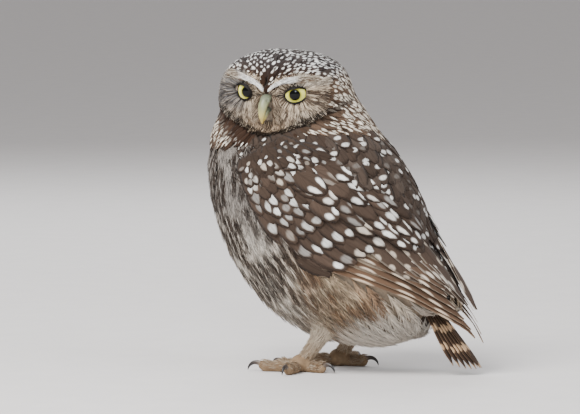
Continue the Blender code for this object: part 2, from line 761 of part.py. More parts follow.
def tail_vanes(sign):
    """The tail feathers of one side, from the outermost, which lies lowest, to the middle."""
    rank = np.arange(TAIL_PAIRS)[::-1, None] + 0.5
    along = np.array(VANE_PLACES)[None, :]
    x = sign * rank * (TAIL_ROOT_SPACING + (TAIL_TIP_SPACING - TAIL_ROOT_SPACING) * along)
    root = TAIL_ROOT_Q + 6.0
    q = root + (TAIL_TIP_Q - 0.14 * rank**2 - root) * along
    d = tail_back(q) + 0.6 * along - 0.012 * x**2
    middle = from_body(x, q, d)
    outward = from_body(x, q, d + 1.0) - middle
    inward = from_body(x - sign, q, d) - middle
    return shingles(middle, outward, inward, 1.2, VANE_STEP, sign)


def tail(look):
    core = tail_plate("tail", TAIL_CORE_END, TAIL_CORE_DEPTH, look=look)
    return boolean(core, "UNION", tail_vanes(1) + tail_vanes(-1), "MANIFOLD")


def sloping_plane(cut):
    """A point and the upward normal of a flat cut, given by its height and its two slopes."""
    height, slope_x, slope_y = cut
    return np.array([0.0, HEAD_AT[1], height]), unit([-slope_x, -slope_y, 1.0])


def set_origin():
    """Moves every mesh so that the origin is the bottom centre of the whole bird."""
    nodes = [o for o in bpy.data.objects if o.type == "MESH"]
    corners = np.concatenate([np.array([v.co for v in o.data.vertices]) for o in nodes])
    low = corners.min(0)
    high = corners.max(0)
    shift = (-(low[0] + high[0]) / 2, -(low[1] + high[1]) / 2, -low[2])
    for node in nodes:
        node.data.transform(Matrix.Translation(shift))
    print("moved by", *(round(value / MM, 3) for value in shift))


def main():
    for old in list(bpy.data.objects):
        bpy.data.objects.remove(old)
    brown = material("brown_plumage", (0.105, 0.078, 0.058), 0.85)
    spotted = material("spotted_plumage", (0.20, 0.165, 0.13), 0.85)
    pale = material("pale_plumage", (0.42, 0.37, 0.31), 0.9)
    skin = material("toe_skin", (0.30, 0.24, 0.17), 0.7)
    horn = material("claw_horn", (0.05, 0.045, 0.04), 0.35)
    bill_horn = material("bill_horn", (0.50, 0.50, 0.34), 0.35)
    iris = material("iris", (0.62, 0.62, 0.12), 0.1)

    whole = boolean(torso_form(), "UNION", [head_form()])
    head_cut, head_up = sloping_plane(HEAD_CUT)
    collar, collar_up = sloping_plane(COLLAR_CUT)
    head = part_of(whole, "head", spotted, [(head_cut, -head_up)])
    neck = part_of(
        whole,
        "neck",
        spotted,
        [(head_cut - head_up * GAP, head_up), (collar + collar_up * GAP, -collar_up)],
    )
    torso = part_of(whole, "torso", pale, [(collar, collar_up)])
    bpy.data.objects.remove(whole)

    boolean(head, "UNION", [lid_ring(1), lid_ring(-1)])
    sockets = [eyeball("socket", sign, GAP) for sign in (1, -1)]
    sockets.append(bill("bill_socket", UPPER_BILL, GAP))
    sockets.append(bill("bill_socket", LOWER_BILL, GAP))
    boolean(head, "DIFFERENCE", sockets)
    eyeball("eye_left", 1, look=iris)
    eyeball("eye_right", -1, look=iris)
    upper = bill("bill_upper", UPPER_BILL, look=bill_horn)
    nostrils = []
    for sign in (1, -1):
        f, l, u = NOSTRIL
        centre = from_head([f, sign * l, u]) * MM
        bpy.ops.mesh.primitive_ico_sphere_add(
            subdivisions=1, radius=NOSTRIL_RADIUS * MM, location=centre
        )
        nostrils.append(bpy.context.object)
    boolean(upper, "DIFFERENCE", nostrils)
    lower = bill("bill_lower", LOWER_BILL, look=bill_horn)
    boolean(lower, "DIFFERENCE", [bill("bill_gap", UPPER_BILL, GAP)])

    cuts = [wing_cutter(1), wing_cutter(-1)]
    cuts += [thigh(side, GAP) for side in ("left", "right")]
    cuts.append(tail_plate("tail_socket", TAIL_TIP_Q, TAIL_ROOM, GAP))
    boolean(torso, "DIFFERENCE", cuts)
    boolean(neck, "DIFFERENCE", [wing_cutter(1), wing_cutter(-1)])

    for side in ("left", "right"):
        wing(side, brown)
        thigh(side, look=pale)
        tarsus(side, pale)
        for toe in TOES:
            toe_body(side, toe, look=skin)
            claw(side, toe, horn)
    tail(brown)
    set_origin()


main()
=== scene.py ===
# %% [markdown]
# # A life-size little owl
#
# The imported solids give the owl's shape and size. This script dresses them: one skin
# under the feathers, eyes, bill and claws, and then the plumage, feather by feather.
# Everything is worked out in millimetres in the frame that the solids were drawn in,
# and only the last step of each piece turns it into metres.

# %% Load the fixed frame
import math

import bpy
import numpy as np
from mathutils import Matrix, Vector


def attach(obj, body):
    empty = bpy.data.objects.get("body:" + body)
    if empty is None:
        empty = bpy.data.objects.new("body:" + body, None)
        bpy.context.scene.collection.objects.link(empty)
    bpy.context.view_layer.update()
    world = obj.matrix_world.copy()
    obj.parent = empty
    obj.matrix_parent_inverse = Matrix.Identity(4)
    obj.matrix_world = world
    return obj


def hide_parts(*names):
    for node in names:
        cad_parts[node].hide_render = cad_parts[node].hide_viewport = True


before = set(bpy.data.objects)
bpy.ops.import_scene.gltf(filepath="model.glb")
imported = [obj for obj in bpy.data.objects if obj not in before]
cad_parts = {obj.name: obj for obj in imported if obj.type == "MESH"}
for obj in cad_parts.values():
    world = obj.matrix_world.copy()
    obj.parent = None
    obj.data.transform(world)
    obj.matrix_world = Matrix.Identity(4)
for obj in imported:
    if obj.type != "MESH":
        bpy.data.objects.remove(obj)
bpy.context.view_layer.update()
MM = 0.001
ORIGIN = np.array([0.03, -3.764, 0.0])  # how far the solids were moved to stand over the origin
SIDES = (("left", 1), ("right", -1))  # the owl's own sides and the sign of x there
rng = np.random.default_rng(7)
print("solids:", len(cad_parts))

# %% [markdown]
# ## Three frames
#
# A bird is easiest to describe in the frames of its own parts. In the body's frame q runs
# down the leaning back and d from breast to back. In the head's frame f is the way the
# face looks, l is the head's left and u its crown. Each is a turn of the world's axes.

# %% Body and head frames
LEAN = math.radians(60)  # the body's axis above the horizontal
HEAD_AT = np.array([0.0, -34.8, 163.0])


def from_body(x, q, d):
    """World place of body coordinates: q and d are turned by the body's lean."""
    x, q, d = np.broadcast_arrays(x, q, d)
    y = q * math.cos(LEAN) + d * math.sin(LEAN)
    z = d * math.cos(LEAN) - q * math.sin(LEAN)
    return np.stack([x, y, z], -1).astype(float)


def head_axes():
    """The head's forward, left and up directions in the world, as rows."""
    turn = Matrix.Rotation(math.radians(86), 3, "Z")
    tip = Matrix.Rotation(math.radians(8), 3, "X")
    roll = Matrix.Rotation(math.radians(2.5), 3, "Y")
    m = np.array(turn @ tip @ roll)
    return np.array([-m[:, 1], m[:, 0], m[:, 2]])


HEAD_AXES = head_axes()
BODY_DOWN = from_body(0.0, 1.0, 0.0)


def from_head(points):
    """World place of head frame points (f, l, u)."""
    return np.asarray(points, float) @ HEAD_AXES + HEAD_AT


def to_head(points):
    """Head frame place of world points, the inverse turn."""
    return (points - HEAD_AT) @ HEAD_AXES.T


def unit(vectors):
    """Vectors divided by their own length."""
    return vectors / np.maximum(np.linalg.norm(vectors, axis=-1, keepdims=True), 1e-9)


def smoothstep(low, high, value):
    """0 below low, 1 above high, and the cubic 3t^2 - 2t^3 between them."""
    t = np.clip((value - low) / (high - low), 0, 1)
    return t * t * (3 - 2 * t)


def smooth_rows(rows, t):
    """Catmull-Rom curve through equally spaced rows, read at t from 0 to 1."""
    rows = np.asarray(rows, float)
    last = len(rows) - 1
    place = np.clip(np.asarray(t, float), 0, 1) * last
    k = np.minimum(place.astype(int), last - 1)
    f = place - k
    if rows.ndim > 1:
        f = f[..., None]
    p0 = rows[np.maximum(k - 1, 0)]
    p1 = rows[k]
    p2 = rows[k + 1]
    p3 = rows[np.minimum(k + 2, last)]
    return p1 + 0.5 * f * (
        p2 - p0 + f * (2 * p0 - 5 * p1 + 4 * p2 - p3 + f * (3 * (p1 - p2) + p3 - p0))
    )


print("the face looks along", HEAD_AXES[0].round(2))

# %% [markdown]
# ## Meshes from arrays
#
# Every surface below is a numpy array of points, and its faces are an array of point
# numbers. Filling a mesh with foreach_set hands Blender each array at once, which is far
# quicker than a loop in Python when there are tens of thousands of feathers.

# %% Filling a mesh
def fill_mesh(name, points, faces, look, smooth=True):
    """An object at the origin from points in millimetres and face arrays, one per face size."""
    mesh = bpy.data.meshes.new(name)
    mesh.vertices.add(len(points))
    placed = (np.asarray(points, float) + ORIGIN) * MM
    mesh.vertices.foreach_set("co", placed.astype(np.float32).ravel())
    corners = np.concatenate([f.ravel() for f in faces]).astype(np.int32)
    sizes = np.concatenate([np.full(len(f), f.shape[1]) for f in faces]).astype(np.int32)
    starts = np.concatenate([[0], np.cumsum(sizes)[:-1]]).astype(np.int32)
    mesh.loops.add(len(corners))
    mesh.loops.foreach_set("vertex_index", corners)
    mesh.polygons.add(len(sizes))
    mesh.polygons.foreach_set("loop_start", starts)
    mesh.polygons.foreach_set("use_smooth", np.full(len(sizes), smooth))
    mesh.update(calc_edges=True)
    mesh.validate()
    mesh.materials.append(look)
    made = bpy.data.objects.new(name, mesh)
    bpy.context.scene.collection.objects.link(made)
    return made


def add_uv(made, name, point_uv):
    """A UV map that takes each corner's place from its point."""
    mesh = made.data
    corner = np.zeros(len(mesh.loops), np.int32)
    mesh.loops.foreach_get("vertex_index", corner)
    layer = mesh.uv_layers.new(name=name)
    layer.data.foreach_set("uv", np.asarray(point_uv, np.float32)[corner].ravel())


def add_colour(made, name, values):
    """A four-number attribute on every point, which materials read by its name."""
    layer = made.data.attributes.new(name, "FLOAT_COLOR", "POINT")
    layer.data.foreach_set("color", np.asarray(values, np.float32).ravel())


def grid_faces(rows, columns, wrap=False):
    """Quads of a grid of points. With wrap the last column joins the first."""
    i = np.arange(rows - 1)[:, None]
    j = np.arange(columns if wrap else columns - 1)[None, :]
    k = (j + 1) % columns
    quads = np.stack(np.broadcast_arrays(i * columns + j, i * columns + k,
                                         (i + 1) * columns + k, (i + 1) * columns + j), -1)
    return quads.reshape(-1, 4)


def closed_tube(name, rings, look, start=None, end=None):
    """A closed surface from rings (rows, sides, 3), with a pole at each end."""
    rows, sides, _ = rings.shape
    start = rings[0].mean(0) if start is None else start
    end = rings[-1].mean(0) if end is None else end
    points = np.concatenate([rings.reshape(-1, 3), [start, end]])
    j = np.arange(sides)
    k = (j + 1) % sides
    last = (rows - 1) * sides
    pole = np.full(sides, rows * sides)
    caps = np.concatenate([np.stack([k, j, pole], -1), np.stack([last + j, last + k, pole + 1], -1)])
    made = fill_mesh(name, points, [grid_faces(rows, sides, True), caps], look)
    outwards(made)
    return made


def outwards(made):
    """Turns all faces of a closed mesh outwards, judged by the sign of its volume."""
    mesh = made.data
    mesh.calc_loop_triangles()
    count = len(mesh.loop_triangles)
    index = np.zeros(count * 3, np.int32)
    mesh.loop_triangles.foreach_get("vertices", index)
    co = np.zeros(len(mesh.vertices) * 3, np.float32)
    mesh.vertices.foreach_get("co", co)
    a, b, c = co.reshape(-1, 3)[index.reshape(-1, 3)].transpose(1, 0, 2).astype(float)
    if (np.cross(a, b) * c).sum() < 0:
        mesh.flip_normals()


def across(path, up):
    """For each point of a path, its side and top directions, square to the path."""
    along = unit(np.gradient(path, axis=0))
    side = unit(np.cross(np.broadcast_to(up, path.shape), along))
    return side, np.cross(along, side)


def tube_rings(path, half_wide, half_high, sides, up=(0, 0, 1)):
    """Elliptic rings round a path: side * width * cos + top * height * sin."""
    path = np.asarray(path, float)
    side, top = across(path, up)
    turn = np.linspace(0, 2 * math.pi, sides, endpoint=False)[None, :, None]
    wide = np.broadcast_to(half_wide, len(path))[:, None, None]
    high = np.broadcast_to(half_high, len(path))[:, None, None]
    return path[:, None, :] + np.cos(turn) * side[:, None] * wide + np.sin(turn) * top[:, None] * high


print("mesh helpers ready")

# %% [markdown]
# ## The owl's outer form
#
# Torso, head and wings are drawn from the same sizes as the solids: the torso from
# sections joined by a smooth curve, the head as a rounded box with eye hollows, brows and
# a ridge for the bill, the wings as sheets over a cloak that wraps the back. They could
# each get a skin, but then seams would show where they meet. So the three are only
# measured here: rays from inside find where each direction leaves the owl.

# %% Torso, head and cloak
TORSO = np.array([
    [-5, -33.5, 166, 2, 35, 19],
    [-6, -33, 157, 3, 43.5, 26],
    [-5, -33, 147, 5, 49.5, 30],
    [-1.5, -30.5, 135, 10, 53.0, 37.5],
    [0, -25.5, 120.3, 18, 56.5, 45.5],
    [0, -18.6, 104.6, 25, 58.6, 49.5],
    [0, -9.6, 89.0, 29, 59.2, 50.5],
    [0, 0.5, 73.9, 31, 57.2, 49.5],
    [0, 11, 59.8, 33, 51.6, 46.5],
    [0, 22.5, 47.5, 34, 44.5, 41],
    [0, 35.5, 37.5, 34, 35, 32],
    [0, 47, 30, 36, 23, 20],
], float)
NECK_TOP = (-5.0, -34.0, 170.0)
VENT = (0.0, 55.0, 25.0)
CLOAK = np.array([
    [-142, 30, 42, 36],
    [-120, 32, 54, 47.5],
    [-98, 33, 58.5, 52],
    [-76, 34, 59.5, 52.5],
    [-54, 36, 57.5, 50.5],
    [-32, 43, 50, 45],
    [-10, 55, 37.5, 35],
    [12, 69, 22.5, 23],
    [34, 80, 10, 13],
], float)
HEAD_FRONT, HEAD_BACK, HEAD_SIDE, HEAD_CROWN, HEAD_CHIN = 26.5, 32.5, 40.2, 28.0, 29.0
HEAD_POWER = 2.5  # 2 is an ellipsoid, more is boxier
EYE_RADIUS, EYE_F, EYE_L, EYE_U = 8.2, 17.2, 14.8, 7.5
EYE_TURN = math.radians(18)  # how far each eye looks outwards


def torso_rings(rows, sides):
    """Tilted ellipses whose centre, tilt, depth and width follow a smooth curve."""
    x, y, z, tilt, depth, width = smooth_rows(TORSO, np.linspace(0, 1, rows)).T[:, :, None]
    tilt = np.radians(tilt)
    angle = np.linspace(0, 2 * math.pi, sides, endpoint=False)[None, :]
    back = depth * np.sin(angle)
    return np.stack([x + width * np.cos(angle), y + back * np.cos(tilt), z + back * np.sin(tilt)], -1)


def brow_height(side):
    """Height of the brow's ridge in the face: low over the bill, rising to each side."""
    return EYE_U + 1.0 + 8.5 * np.tanh(np.abs(side) / 10.0)


def face_relief(side, up):
    """How far the face stands forward: eye hollows, brows, bridge, cheeks and the disc's rim."""
    eye_side = (np.abs(side) - EYE_L - 2.0) / 8.0
    eye_up = (up - EYE_U + 0.5) / 7.5
    socket = -3.2 * np.exp(-(eye_side**2) - eye_up**2)
    brow = 2.8 * np.exp(-(((up - brow_height(side)) / 3.2) ** 2))
    brow = brow * np.exp(-((np.abs(side) / 25.0) ** 4))
    bridge = 2.6 * np.exp(-((side / 4.5) ** 2) - ((up - 3.0) / 8.0) ** 2)
    cheek = 1.8 * np.exp(-(((np.abs(side) - 10) / 9.0) ** 2) - ((up + 11) / 6.0) ** 2)
    rim = np.sqrt((side / 33.0) ** 2 + ((up - 1.0) / 21.0) ** 2)
    disc = 1.4 * np.exp(-(((rim - 1.0) / 0.14) ** 2)) * np.clip((12 - up) / 8, 0, 1)
    return socket + brow + bridge + cheek + disc


def head_surface(polar, turn):
    """Head frame point: polar is the angle from the face's axis, turn goes round it."""
    f = np.cos(polar) * np.ones_like(turn)
    side = np.sin(polar) * np.cos(turn)
    up = np.sin(polar) * np.sin(turn)
    half_f = np.where(f > 0, HEAD_FRONT, HEAD_BACK)
    half_u = np.where(up > 0, HEAD_CROWN, HEAD_CHIN)
    total = np.abs(f / half_f) ** HEAD_POWER + np.abs(side / HEAD_SIDE) ** HEAD_POWER
    reach = (total + np.abs(up / half_u) ** HEAD_POWER) ** (-1 / HEAD_POWER)
    point = np.stack([f * reach, side * reach, up * reach], -1)
    point[..., 0] += face_relief(point[..., 1], point[..., 2]) * np.clip(f * 2.2, 0, 1)
    return point


WING_Q0 = -131.0
WING_TIP_Q = {1: 25.5, -1: 30.0}
LOWER_EDGE = np.array([-13, -14, -11.5, -6, 5, 17, 32, 60], float)  # degrees on the cloak
UPPER_EDGE = np.array([26, 46, 61, 69, 76, 80, 83, 84], float)
SHEET_ROWS, SHEET_COLUMNS, SHEET_END = 40, 24, 0.86


def cloak_sizes(q):
    """Middle height, half height and half width of the cloak at a place along the body."""
    share = np.interp(q, CLOAK[:, 0], np.linspace(0, 1, len(CLOAK)))
    return np.moveaxis(smooth_rows(CLOAK, share)[..., 1:], -1, 0)


def wing_point(s, t, height, sign):
    """Point over the cloak: s down the wing, t from its lower edge up to the back."""
    s, t, height = np.broadcast_arrays(np.asarray(s, float), t, height)
    q = WING_Q0 + (WING_TIP_Q[sign] - WING_Q0) * s
    low = np.radians(smooth_rows(LOWER_EDGE, s))
    high = np.radians(smooth_rows(UPPER_EDGE, s))
    angle = low + (high - low) * t
    middle, half, width = cloak_sizes(q)
    x = (width + height) * np.cos(angle)
    return from_body(x * sign, q, middle + (half + height) * np.sin(angle))


def wing_shell(sign, top, bottom):
    """Points and quads of two sheets over one wing, one above the other, narrower towards the wrist."""
    s = np.linspace(0, SHEET_END, SHEET_ROWS)[:, None]
    t = np.linspace(0, 1, SHEET_COLUMNS)[None, :]
    t = 0.45 + (t - 0.45) * (0.35 + 0.65 * np.clip(s / 0.10, 0, 1) ** 0.5)
    edge = smoothstep(0.0, 0.16, np.minimum(t, 1 - t)) * np.clip((SHEET_END - s) / 0.2, 0, 1) ** 0.5
    upper = wing_point(s, t, bottom + (top - bottom) * edge, sign)
    lower = wing_point(s, t, bottom - 1.0, sign)
    quads = grid_faces(SHEET_ROWS, SHEET_COLUMNS)
    points = np.concatenate([upper.reshape(-1, 3), lower.reshape(-1, 3)])
    return points, np.concatenate([quads, quads + SHEET_ROWS * SHEET_COLUMNS])


print("torso", torso_rings(4, 8).shape, "head", head_surface(np.array(0.0), np.array(0.0)).round(1))

# %% [markdown]
# ## One surface for the whole body
#
# A capsule of rays runs from the middle of the head to the middle of the belly. Shrinkwrap
# projects a grid on that capsule inwards onto the forms, so each grid point stops where its
# ray meets the owl. What is kept is one number per ray, the distance. It is smoothed, less
# so on the face, and from then on any place on the body is a pair (u, v) between 0 and 1,
# and any nearby point can be turned back into such a pair. Feathers are laid by this map.

# %% The capsule of rays
BELLY_AT = np.array([0.0, 16.0, 60.0])
SPINE = BELLY_AT - HEAD_AT
SPINE_LENGTH = float(np.linalg.norm(SPINE))
SPINE = SPINE / SPINE_LENGTH
ACROSS_X = np.array([1.0, 0.0, 0.0])
ACROSS_Y = np.cross(SPINE, ACROSS_X)
ROWS, COLUMNS = 198, 256
RAY_START, RAY_MISSED = 130.0, 128.0  # rays start this far out, and one that stays beyond missed


def capsule(u, v):
    """Start and direction of a ray: a half ball, a straight run and a half ball."""
    zone = np.asarray(u, float) * 3
    polar = math.pi / 2 * (np.clip(zone, 0, 1) + np.clip(zone - 2, 0, 1))
    along = np.clip(zone - 1, 0, 1) * SPINE_LENGTH
    turn = 2 * math.pi * np.asarray(v, float)
    start = HEAD_AT + SPINE * along[..., None]
    level = np.cos(turn)[..., None] * ACROSS_X + np.sin(turn)[..., None] * ACROSS_Y
    return start, unit(level * np.sin(polar)[..., None] - SPINE * np.cos(polar)[..., None])


def capsule_place(points):
    """The pair (u, v) of the ray that passes through each point: the inverse of capsule()."""
    away = points - HEAD_AT
    along = away @ SPINE
    away = unit(away - SPINE * np.clip(along, 0, SPINE_LENGTH)[..., None])
    polar = np.arccos(np.clip(-(away @ SPINE), -1, 1)) / (math.pi / 2)
    zone = np.where(along < 0, polar, np.where(along > SPINE_LENGTH, 1 + polar, 0))
    zone = np.where((along >= 0) & (along <= SPINE_LENGTH), 1 + along / SPINE_LENGTH, zone)
    v = np.arctan2(away @ ACROSS_Y, away @ ACROSS_X) / (2 * math.pi)
    return zone / 3, v % 1.0


def scan_body():
    """Distance from the capsule's middle to the owl's form along each ray."""
    u = (np.arange(ROWS) + 0.5) / ROWS
    v = np.arange(COLUMNS) / COLUMNS
    start, direction = capsule(*np.broadcast_arrays(u[:, None], v[None, :]))
    blank = bpy.data.materials.new("blank")
    grid = fill_mesh("rays", (start + direction * RAY_START).reshape(-1, 3),
                     [grid_faces(ROWS, COLUMNS, True)], blank)
    outwards(grid)
    torso = closed_tube("torso_form", torso_rings(96, 120), blank, NECK_TOP, VENT)
    polar = (np.linspace(0, 1, 102)[1:-1, None] ** 1.12) * math.pi
    turn = np.linspace(0, 2 * math.pi, 160, endpoint=False)[None, :]
    head = closed_tube("head_form", from_head(head_surface(polar, turn)), blank)
    forms = [torso, head]
    for _, sign in SIDES:
        points, quads = wing_shell(sign, -0.5, -4.5)
        forms.append(fill_mesh("wing_form", points, [quads], blank))
    found = np.zeros((ROWS, COLUMNS))
    for form in forms:
        wrap = grid.modifiers.new("project", "SHRINKWRAP")
        wrap.wrap_method = "PROJECT"
        wrap.use_negative_direction = True
        wrap.use_positive_direction = False
        wrap.target = form
        graph = bpy.context.evaluated_depsgraph_get()
        co = np.zeros(ROWS * COLUMNS * 3, np.float32)
        grid.evaluated_get(graph).data.vertices.foreach_get("co", co)
        hit = co.reshape(ROWS, COLUMNS, 3) / MM - ORIGIN
        reach = ((hit - start) * direction).sum(-1)
        found = np.maximum(found, np.where(reach < RAY_MISSED, reach, 0.0))
        grid.modifiers.clear()
    for made in (grid, *forms):
        bpy.data.objects.remove(made)
    bpy.data.materials.remove(blank)
    return found


def blurred(field, cells):
    """A Gaussian blur of a field that closes on itself across and stops at its ends along."""
    reach = int(cells * 3) + 1
    weights = np.exp(-0.5 * (np.arange(-reach, reach + 1) / cells) ** 2)
    weights /= weights.sum()
    padded = np.concatenate([field[:reach][::-1], field, field[-reach:][::-1]])
    along = sum(w * padded[i:i + len(field)] for i, w in enumerate(weights))
    return sum(w * np.roll(along, i - reach, axis=1) for i, w in enumerate(weights))


GRID_U, GRID_V = np.indices((ROWS, COLUMNS))
GRID_U, GRID_V = (GRID_U + 0.5) / ROWS, GRID_V / COLUMNS
GRID_START, GRID_DIRECTION = capsule(GRID_U, GRID_V)
radius = scan_body()
on_face = smoothstep(0.35, 0.6, GRID_DIRECTION @ HEAD_AXES[0]) * (GRID_U < 0.45)
RADIUS = blurred(radius, 3.0) * (1 - on_face) + blurred(radius, 0.9) * on_face
GRID_POINT = GRID_START + GRID_DIRECTION * RADIUS[..., None]
slope_v = np.roll(GRID_POINT, -1, 1) - np.roll(GRID_POINT, 1, 1)
slope_u = np.gradient(GRID_POINT, axis=0)
GRID_NORMAL = np.cross(slope_v, slope_u)
GRID_AREA = np.linalg.norm(GRID_NORMAL, axis=-1) / 2
GRID_NORMAL = unit(GRID_NORMAL)
GRID_NORMAL *= np.sign((GRID_NORMAL * GRID_DIRECTION).sum(-1, keepdims=True))
print("body area", round(float(GRID_AREA.sum()) / 100), "square cm")
print("radius", RADIUS.min().round(1), "to", RADIUS.max().round(1), "mm")

# %% [markdown]
# ## Reading the map
#
# Between the grid's points the map is read by linear interpolation, in whole arrays. To
# walk over the body, a step is taken in a straight line and the end is dropped back onto
# the surface along its ray. That is how a feather follows the curve it lies on.

# %% Points, normals and steps on the body
def read_grid(field, u, v):
    """Linear interpolation in a grid that closes on itself across."""
    row = np.clip(u * ROWS - 0.5, 0, ROWS - 1.001)
    column = (v % 1.0) * COLUMNS
    i = row.astype(int)
    j = column.astype(int) % COLUMNS
    k = (j + 1) % COLUMNS
    a = row - i
    b = column - column.astype(int)
    if field.ndim > 2:
        a = a[..., None]
        b = b[..., None]
    near = field[i, j] * (1 - b) + field[i, k] * b
    far = field[i + 1, j] * (1 - b) + field[i + 1, k] * b
    return near * (1 - a) + far * a


def body_at(points):
    """The body's surface point and normal on the ray through each point."""
    u, v = capsule_place(points)
    start, direction = capsule(u, v)
    return start + direction * read_grid(RADIUS, u, v)[..., None], unit(read_grid(GRID_NORMAL, u, v))


def flatten(vectors, normals):
    """Vectors with their part along the normal taken away, at unit length."""
    return unit(vectors - (vectors * normals).sum(-1, keepdims=True) * normals)


def walk(roots, heading, lengths, steps):
    """Paths over the body: steps along a heading function, each dropped back on the surface."""
    point, normal = body_at(roots)
    path = [point]
    normals = [normal]
    for _ in range(steps - 1):
        ahead = flatten(heading(point, normal), normal)
        point, normal = body_at(point + ahead * (lengths / (steps - 1))[:, None])
        path.append(point)
        normals.append(normal)
    return np.stack(path, 1), np.stack(normals, 1)


SPREAD = (0.7548776662466927, 0.5698402909980532)  # 1/p and 1/p^2, where p^3 = p + 1


def scatter(density, count, seed):
    """Evenly spread places on the body, with their number following a density on the grid.

    Place k falls at the fractions of k/p and k/p^2, which never crowd or repeat.
    """
    weight = GRID_AREA * density
    rows = np.cumsum(weight.sum(1))
    k = np.arange(count) + seed * 0.37
    a = (0.5 + k * SPREAD[0]) % 1.0
    b = (0.5 + k * SPREAD[1]) % 1.0
    row = np.interp(a * rows[-1], np.concatenate([[0], rows]), np.arange(ROWS + 1))
    i = np.minimum(row.astype(int), ROWS - 1)
    share = np.cumsum(weight, 1)
    share = share / np.maximum(share[:, -1:], 1e-9)
    column = (share[i] < b[:, None]).sum(1)
    low = np.where(column > 0, share[i, np.maximum(column - 1, 0)], 0.0)
    high = share[i, np.minimum(column, COLUMNS - 1)]
    column = column + (b - low) / np.maximum(high - low, 1e-9)
    u = np.clip(row / ROWS, 0.5 / ROWS, 1 - 0.5 / ROWS)
    start, direction = capsule(u, column / COLUMNS)
    return start + direction * read_grid(RADIUS, u, column / COLUMNS)[..., None]


print("map ready")

# %% [markdown]
# ## Colour
#
# Feather colours are picked as a painter would name them, in ordinary screen values, and
# turned into the linear values that shaders use.

# %% Colours
def paint(red, green, blue):
    """Linear colour from screen values of 0 to 255."""
    value = np.array([red, green, blue]) / 255
    return np.where(value <= 0.04045, value / 12.92, ((value + 0.055) / 1.055) ** 2.4)


def blend(a, b, share):
    """Mixes two colours or arrays of colours by a share for each feather."""
    return a * (1 - share[:, None]) + b * share[:, None]


def uneven(count, spread, middle=0.0):
    """A random lightness for each feather: exp(middle + spread * normal)."""
    return np.exp(rng.normal(middle, spread, (count, 1)))


UMBER = paint(66, 54, 46)
BUFF = paint(178, 158, 134)
WHITE = paint(232, 230, 224)
GREY_BROWN = paint(104, 94, 86)
print("linear umber", UMBER.round(3))

# %% [markdown]
# ## Shader nodes
#
# A finish is a small network of nodes. Each helper below adds one node and returns its
# output, so that a finish can be written as a formula.

# %% Short names for the nodes
def add_node(tree, kind, settings, inputs):
    """A shader node with its settings, and inputs that are numbers, colours or other sockets."""
    made = tree.nodes.new(kind)
    for key, value in settings.items():
        setattr(made, key, value)
    for key, value in inputs.items():
        if isinstance(value, bpy.types.NodeSocket):
            tree.links.new(value, made.inputs[key])
        else:
            made.inputs[key].default_value = (*value, 1) if isinstance(value, np.ndarray) else value
    return made


def calc(tree, operation, *values):
    """The result of a sum on numbers."""
    return add_node(tree, "ShaderNodeMath", {"operation": operation}, dict(enumerate(values))).outputs[0]


def noise(tree, place, scale, detail=2.0):
    """Soft noise from 0 to 1."""
    inputs = {"Vector": place, "Scale": scale, "Detail": detail}
    return add_node(tree, "ShaderNodeTexNoise", {}, inputs).outputs["Fac"]


def mix(tree, share, one, other):
    """Two colours mixed by a share."""
    return add_node(tree, "ShaderNodeMix", {"data_type": "RGBA"}, {0: share, 6: one, 7: other}).outputs[2]


def mapped(tree, value, low, high, start, end, kind="LINEAR"):
    """Runs from start to end while the value runs from low to high."""
    inputs = {0: value, 1: low, 2: high, 3: start, 4: end}
    return add_node(tree, "ShaderNodeMapRange", {"interpolation_type": kind}, inputs).outputs[0]


def scaled(tree, colour, factor):
    """A colour times a number."""
    inputs = {0: colour, "Scale": factor}
    return add_node(tree, "ShaderNodeVectorMath", {"operation": "SCALE"}, inputs).outputs[0]


def parts(tree, place):
    """The x, y and z of a place."""
    return add_node(tree, "ShaderNodeSeparateXYZ", {}, {0: place}).outputs


def joined(tree, *values):
    """A place from its x, y and z."""
    return add_node(tree, "ShaderNodeCombineXYZ", {}, dict(enumerate(values))).outputs[0]


def uv_place(tree, name):
    """The place in one of the UV maps."""
    return add_node(tree, "ShaderNodeUVMap", {"uv_map": name}, {}).outputs[0]


def object_place(tree):
    """The place in metres, since every piece stands unturned at the origin."""
    return add_node(tree, "ShaderNodeTexCoord", {}, {}).outputs["Object"]


def attribute(tree, name):
    """Colour, vector and fourth number of a point attribute."""
    return add_node(tree, "ShaderNodeAttribute", {"attribute_name": name}, {}).outputs


def ramp(tree, share, stops):
    """A colour ramp whose first stop is at 0 and whose last is at 1."""
    made = add_node(tree, "ShaderNodeValToRGB", {}, {0: share})
    elements = made.color_ramp.elements
    elements[0].color = (*stops[0][1], 1)
    elements[1].color = (*stops[-1][1], 1)
    for position, colour in stops[1:-1]:
        elements.new(position).color = (*colour, 1)
    return made.outputs[0]


def blank_material(name, roughness, specular=0.5):
    """A new material, its node tree and its shader."""
    made = bpy.data.materials.new(name)
    made.use_nodes = True
    shader = made.node_tree.nodes["Principled BSDF"]
    shader.inputs["Roughness"].default_value = roughness
    shader.inputs["Specular IOR Level"].default_value = specular
    return made, made.node_tree, shader


def colour_surface(tree, shader, colour, height=None, strength=0.0, distance=0.0):
    """Gives the shader its colour, and its fine relief from a height."""
    tree.links.new(colour, shader.inputs["Base Color"])
    if height is not None:
        inputs = {"Strength": strength, "Distance": distance, "Height": height}
        tree.links.new(add_node(tree, "ShaderNodeBump", {}, inputs).outputs[0], shader.inputs["Normal"])


def speckled(name, roughness, scale, one, other):
    """A material of two close colours mixed by noise."""
    made, tree, shader = blank_material(name, roughness, 0.2)
    colour_surface(tree, shader, mix(tree, noise(tree, object_place(tree), scale), one, other))
    return made


print("node helpers ready")

# %% [markdown]
# ## The feather finish
#
# A feather has a ground colour, a mark (a white spot or a pale bar) and fine barbs that
# slant off its shaft. The mark is an ellipse in the feather's own coordinates: x runs
# across the vane and y from root to tip. Each feather carries its colours and its mark's
# place and size in attributes, so one finish serves thousands of unlike feathers. The
# barbs are noise drawn out along lines that lean away from the shaft.

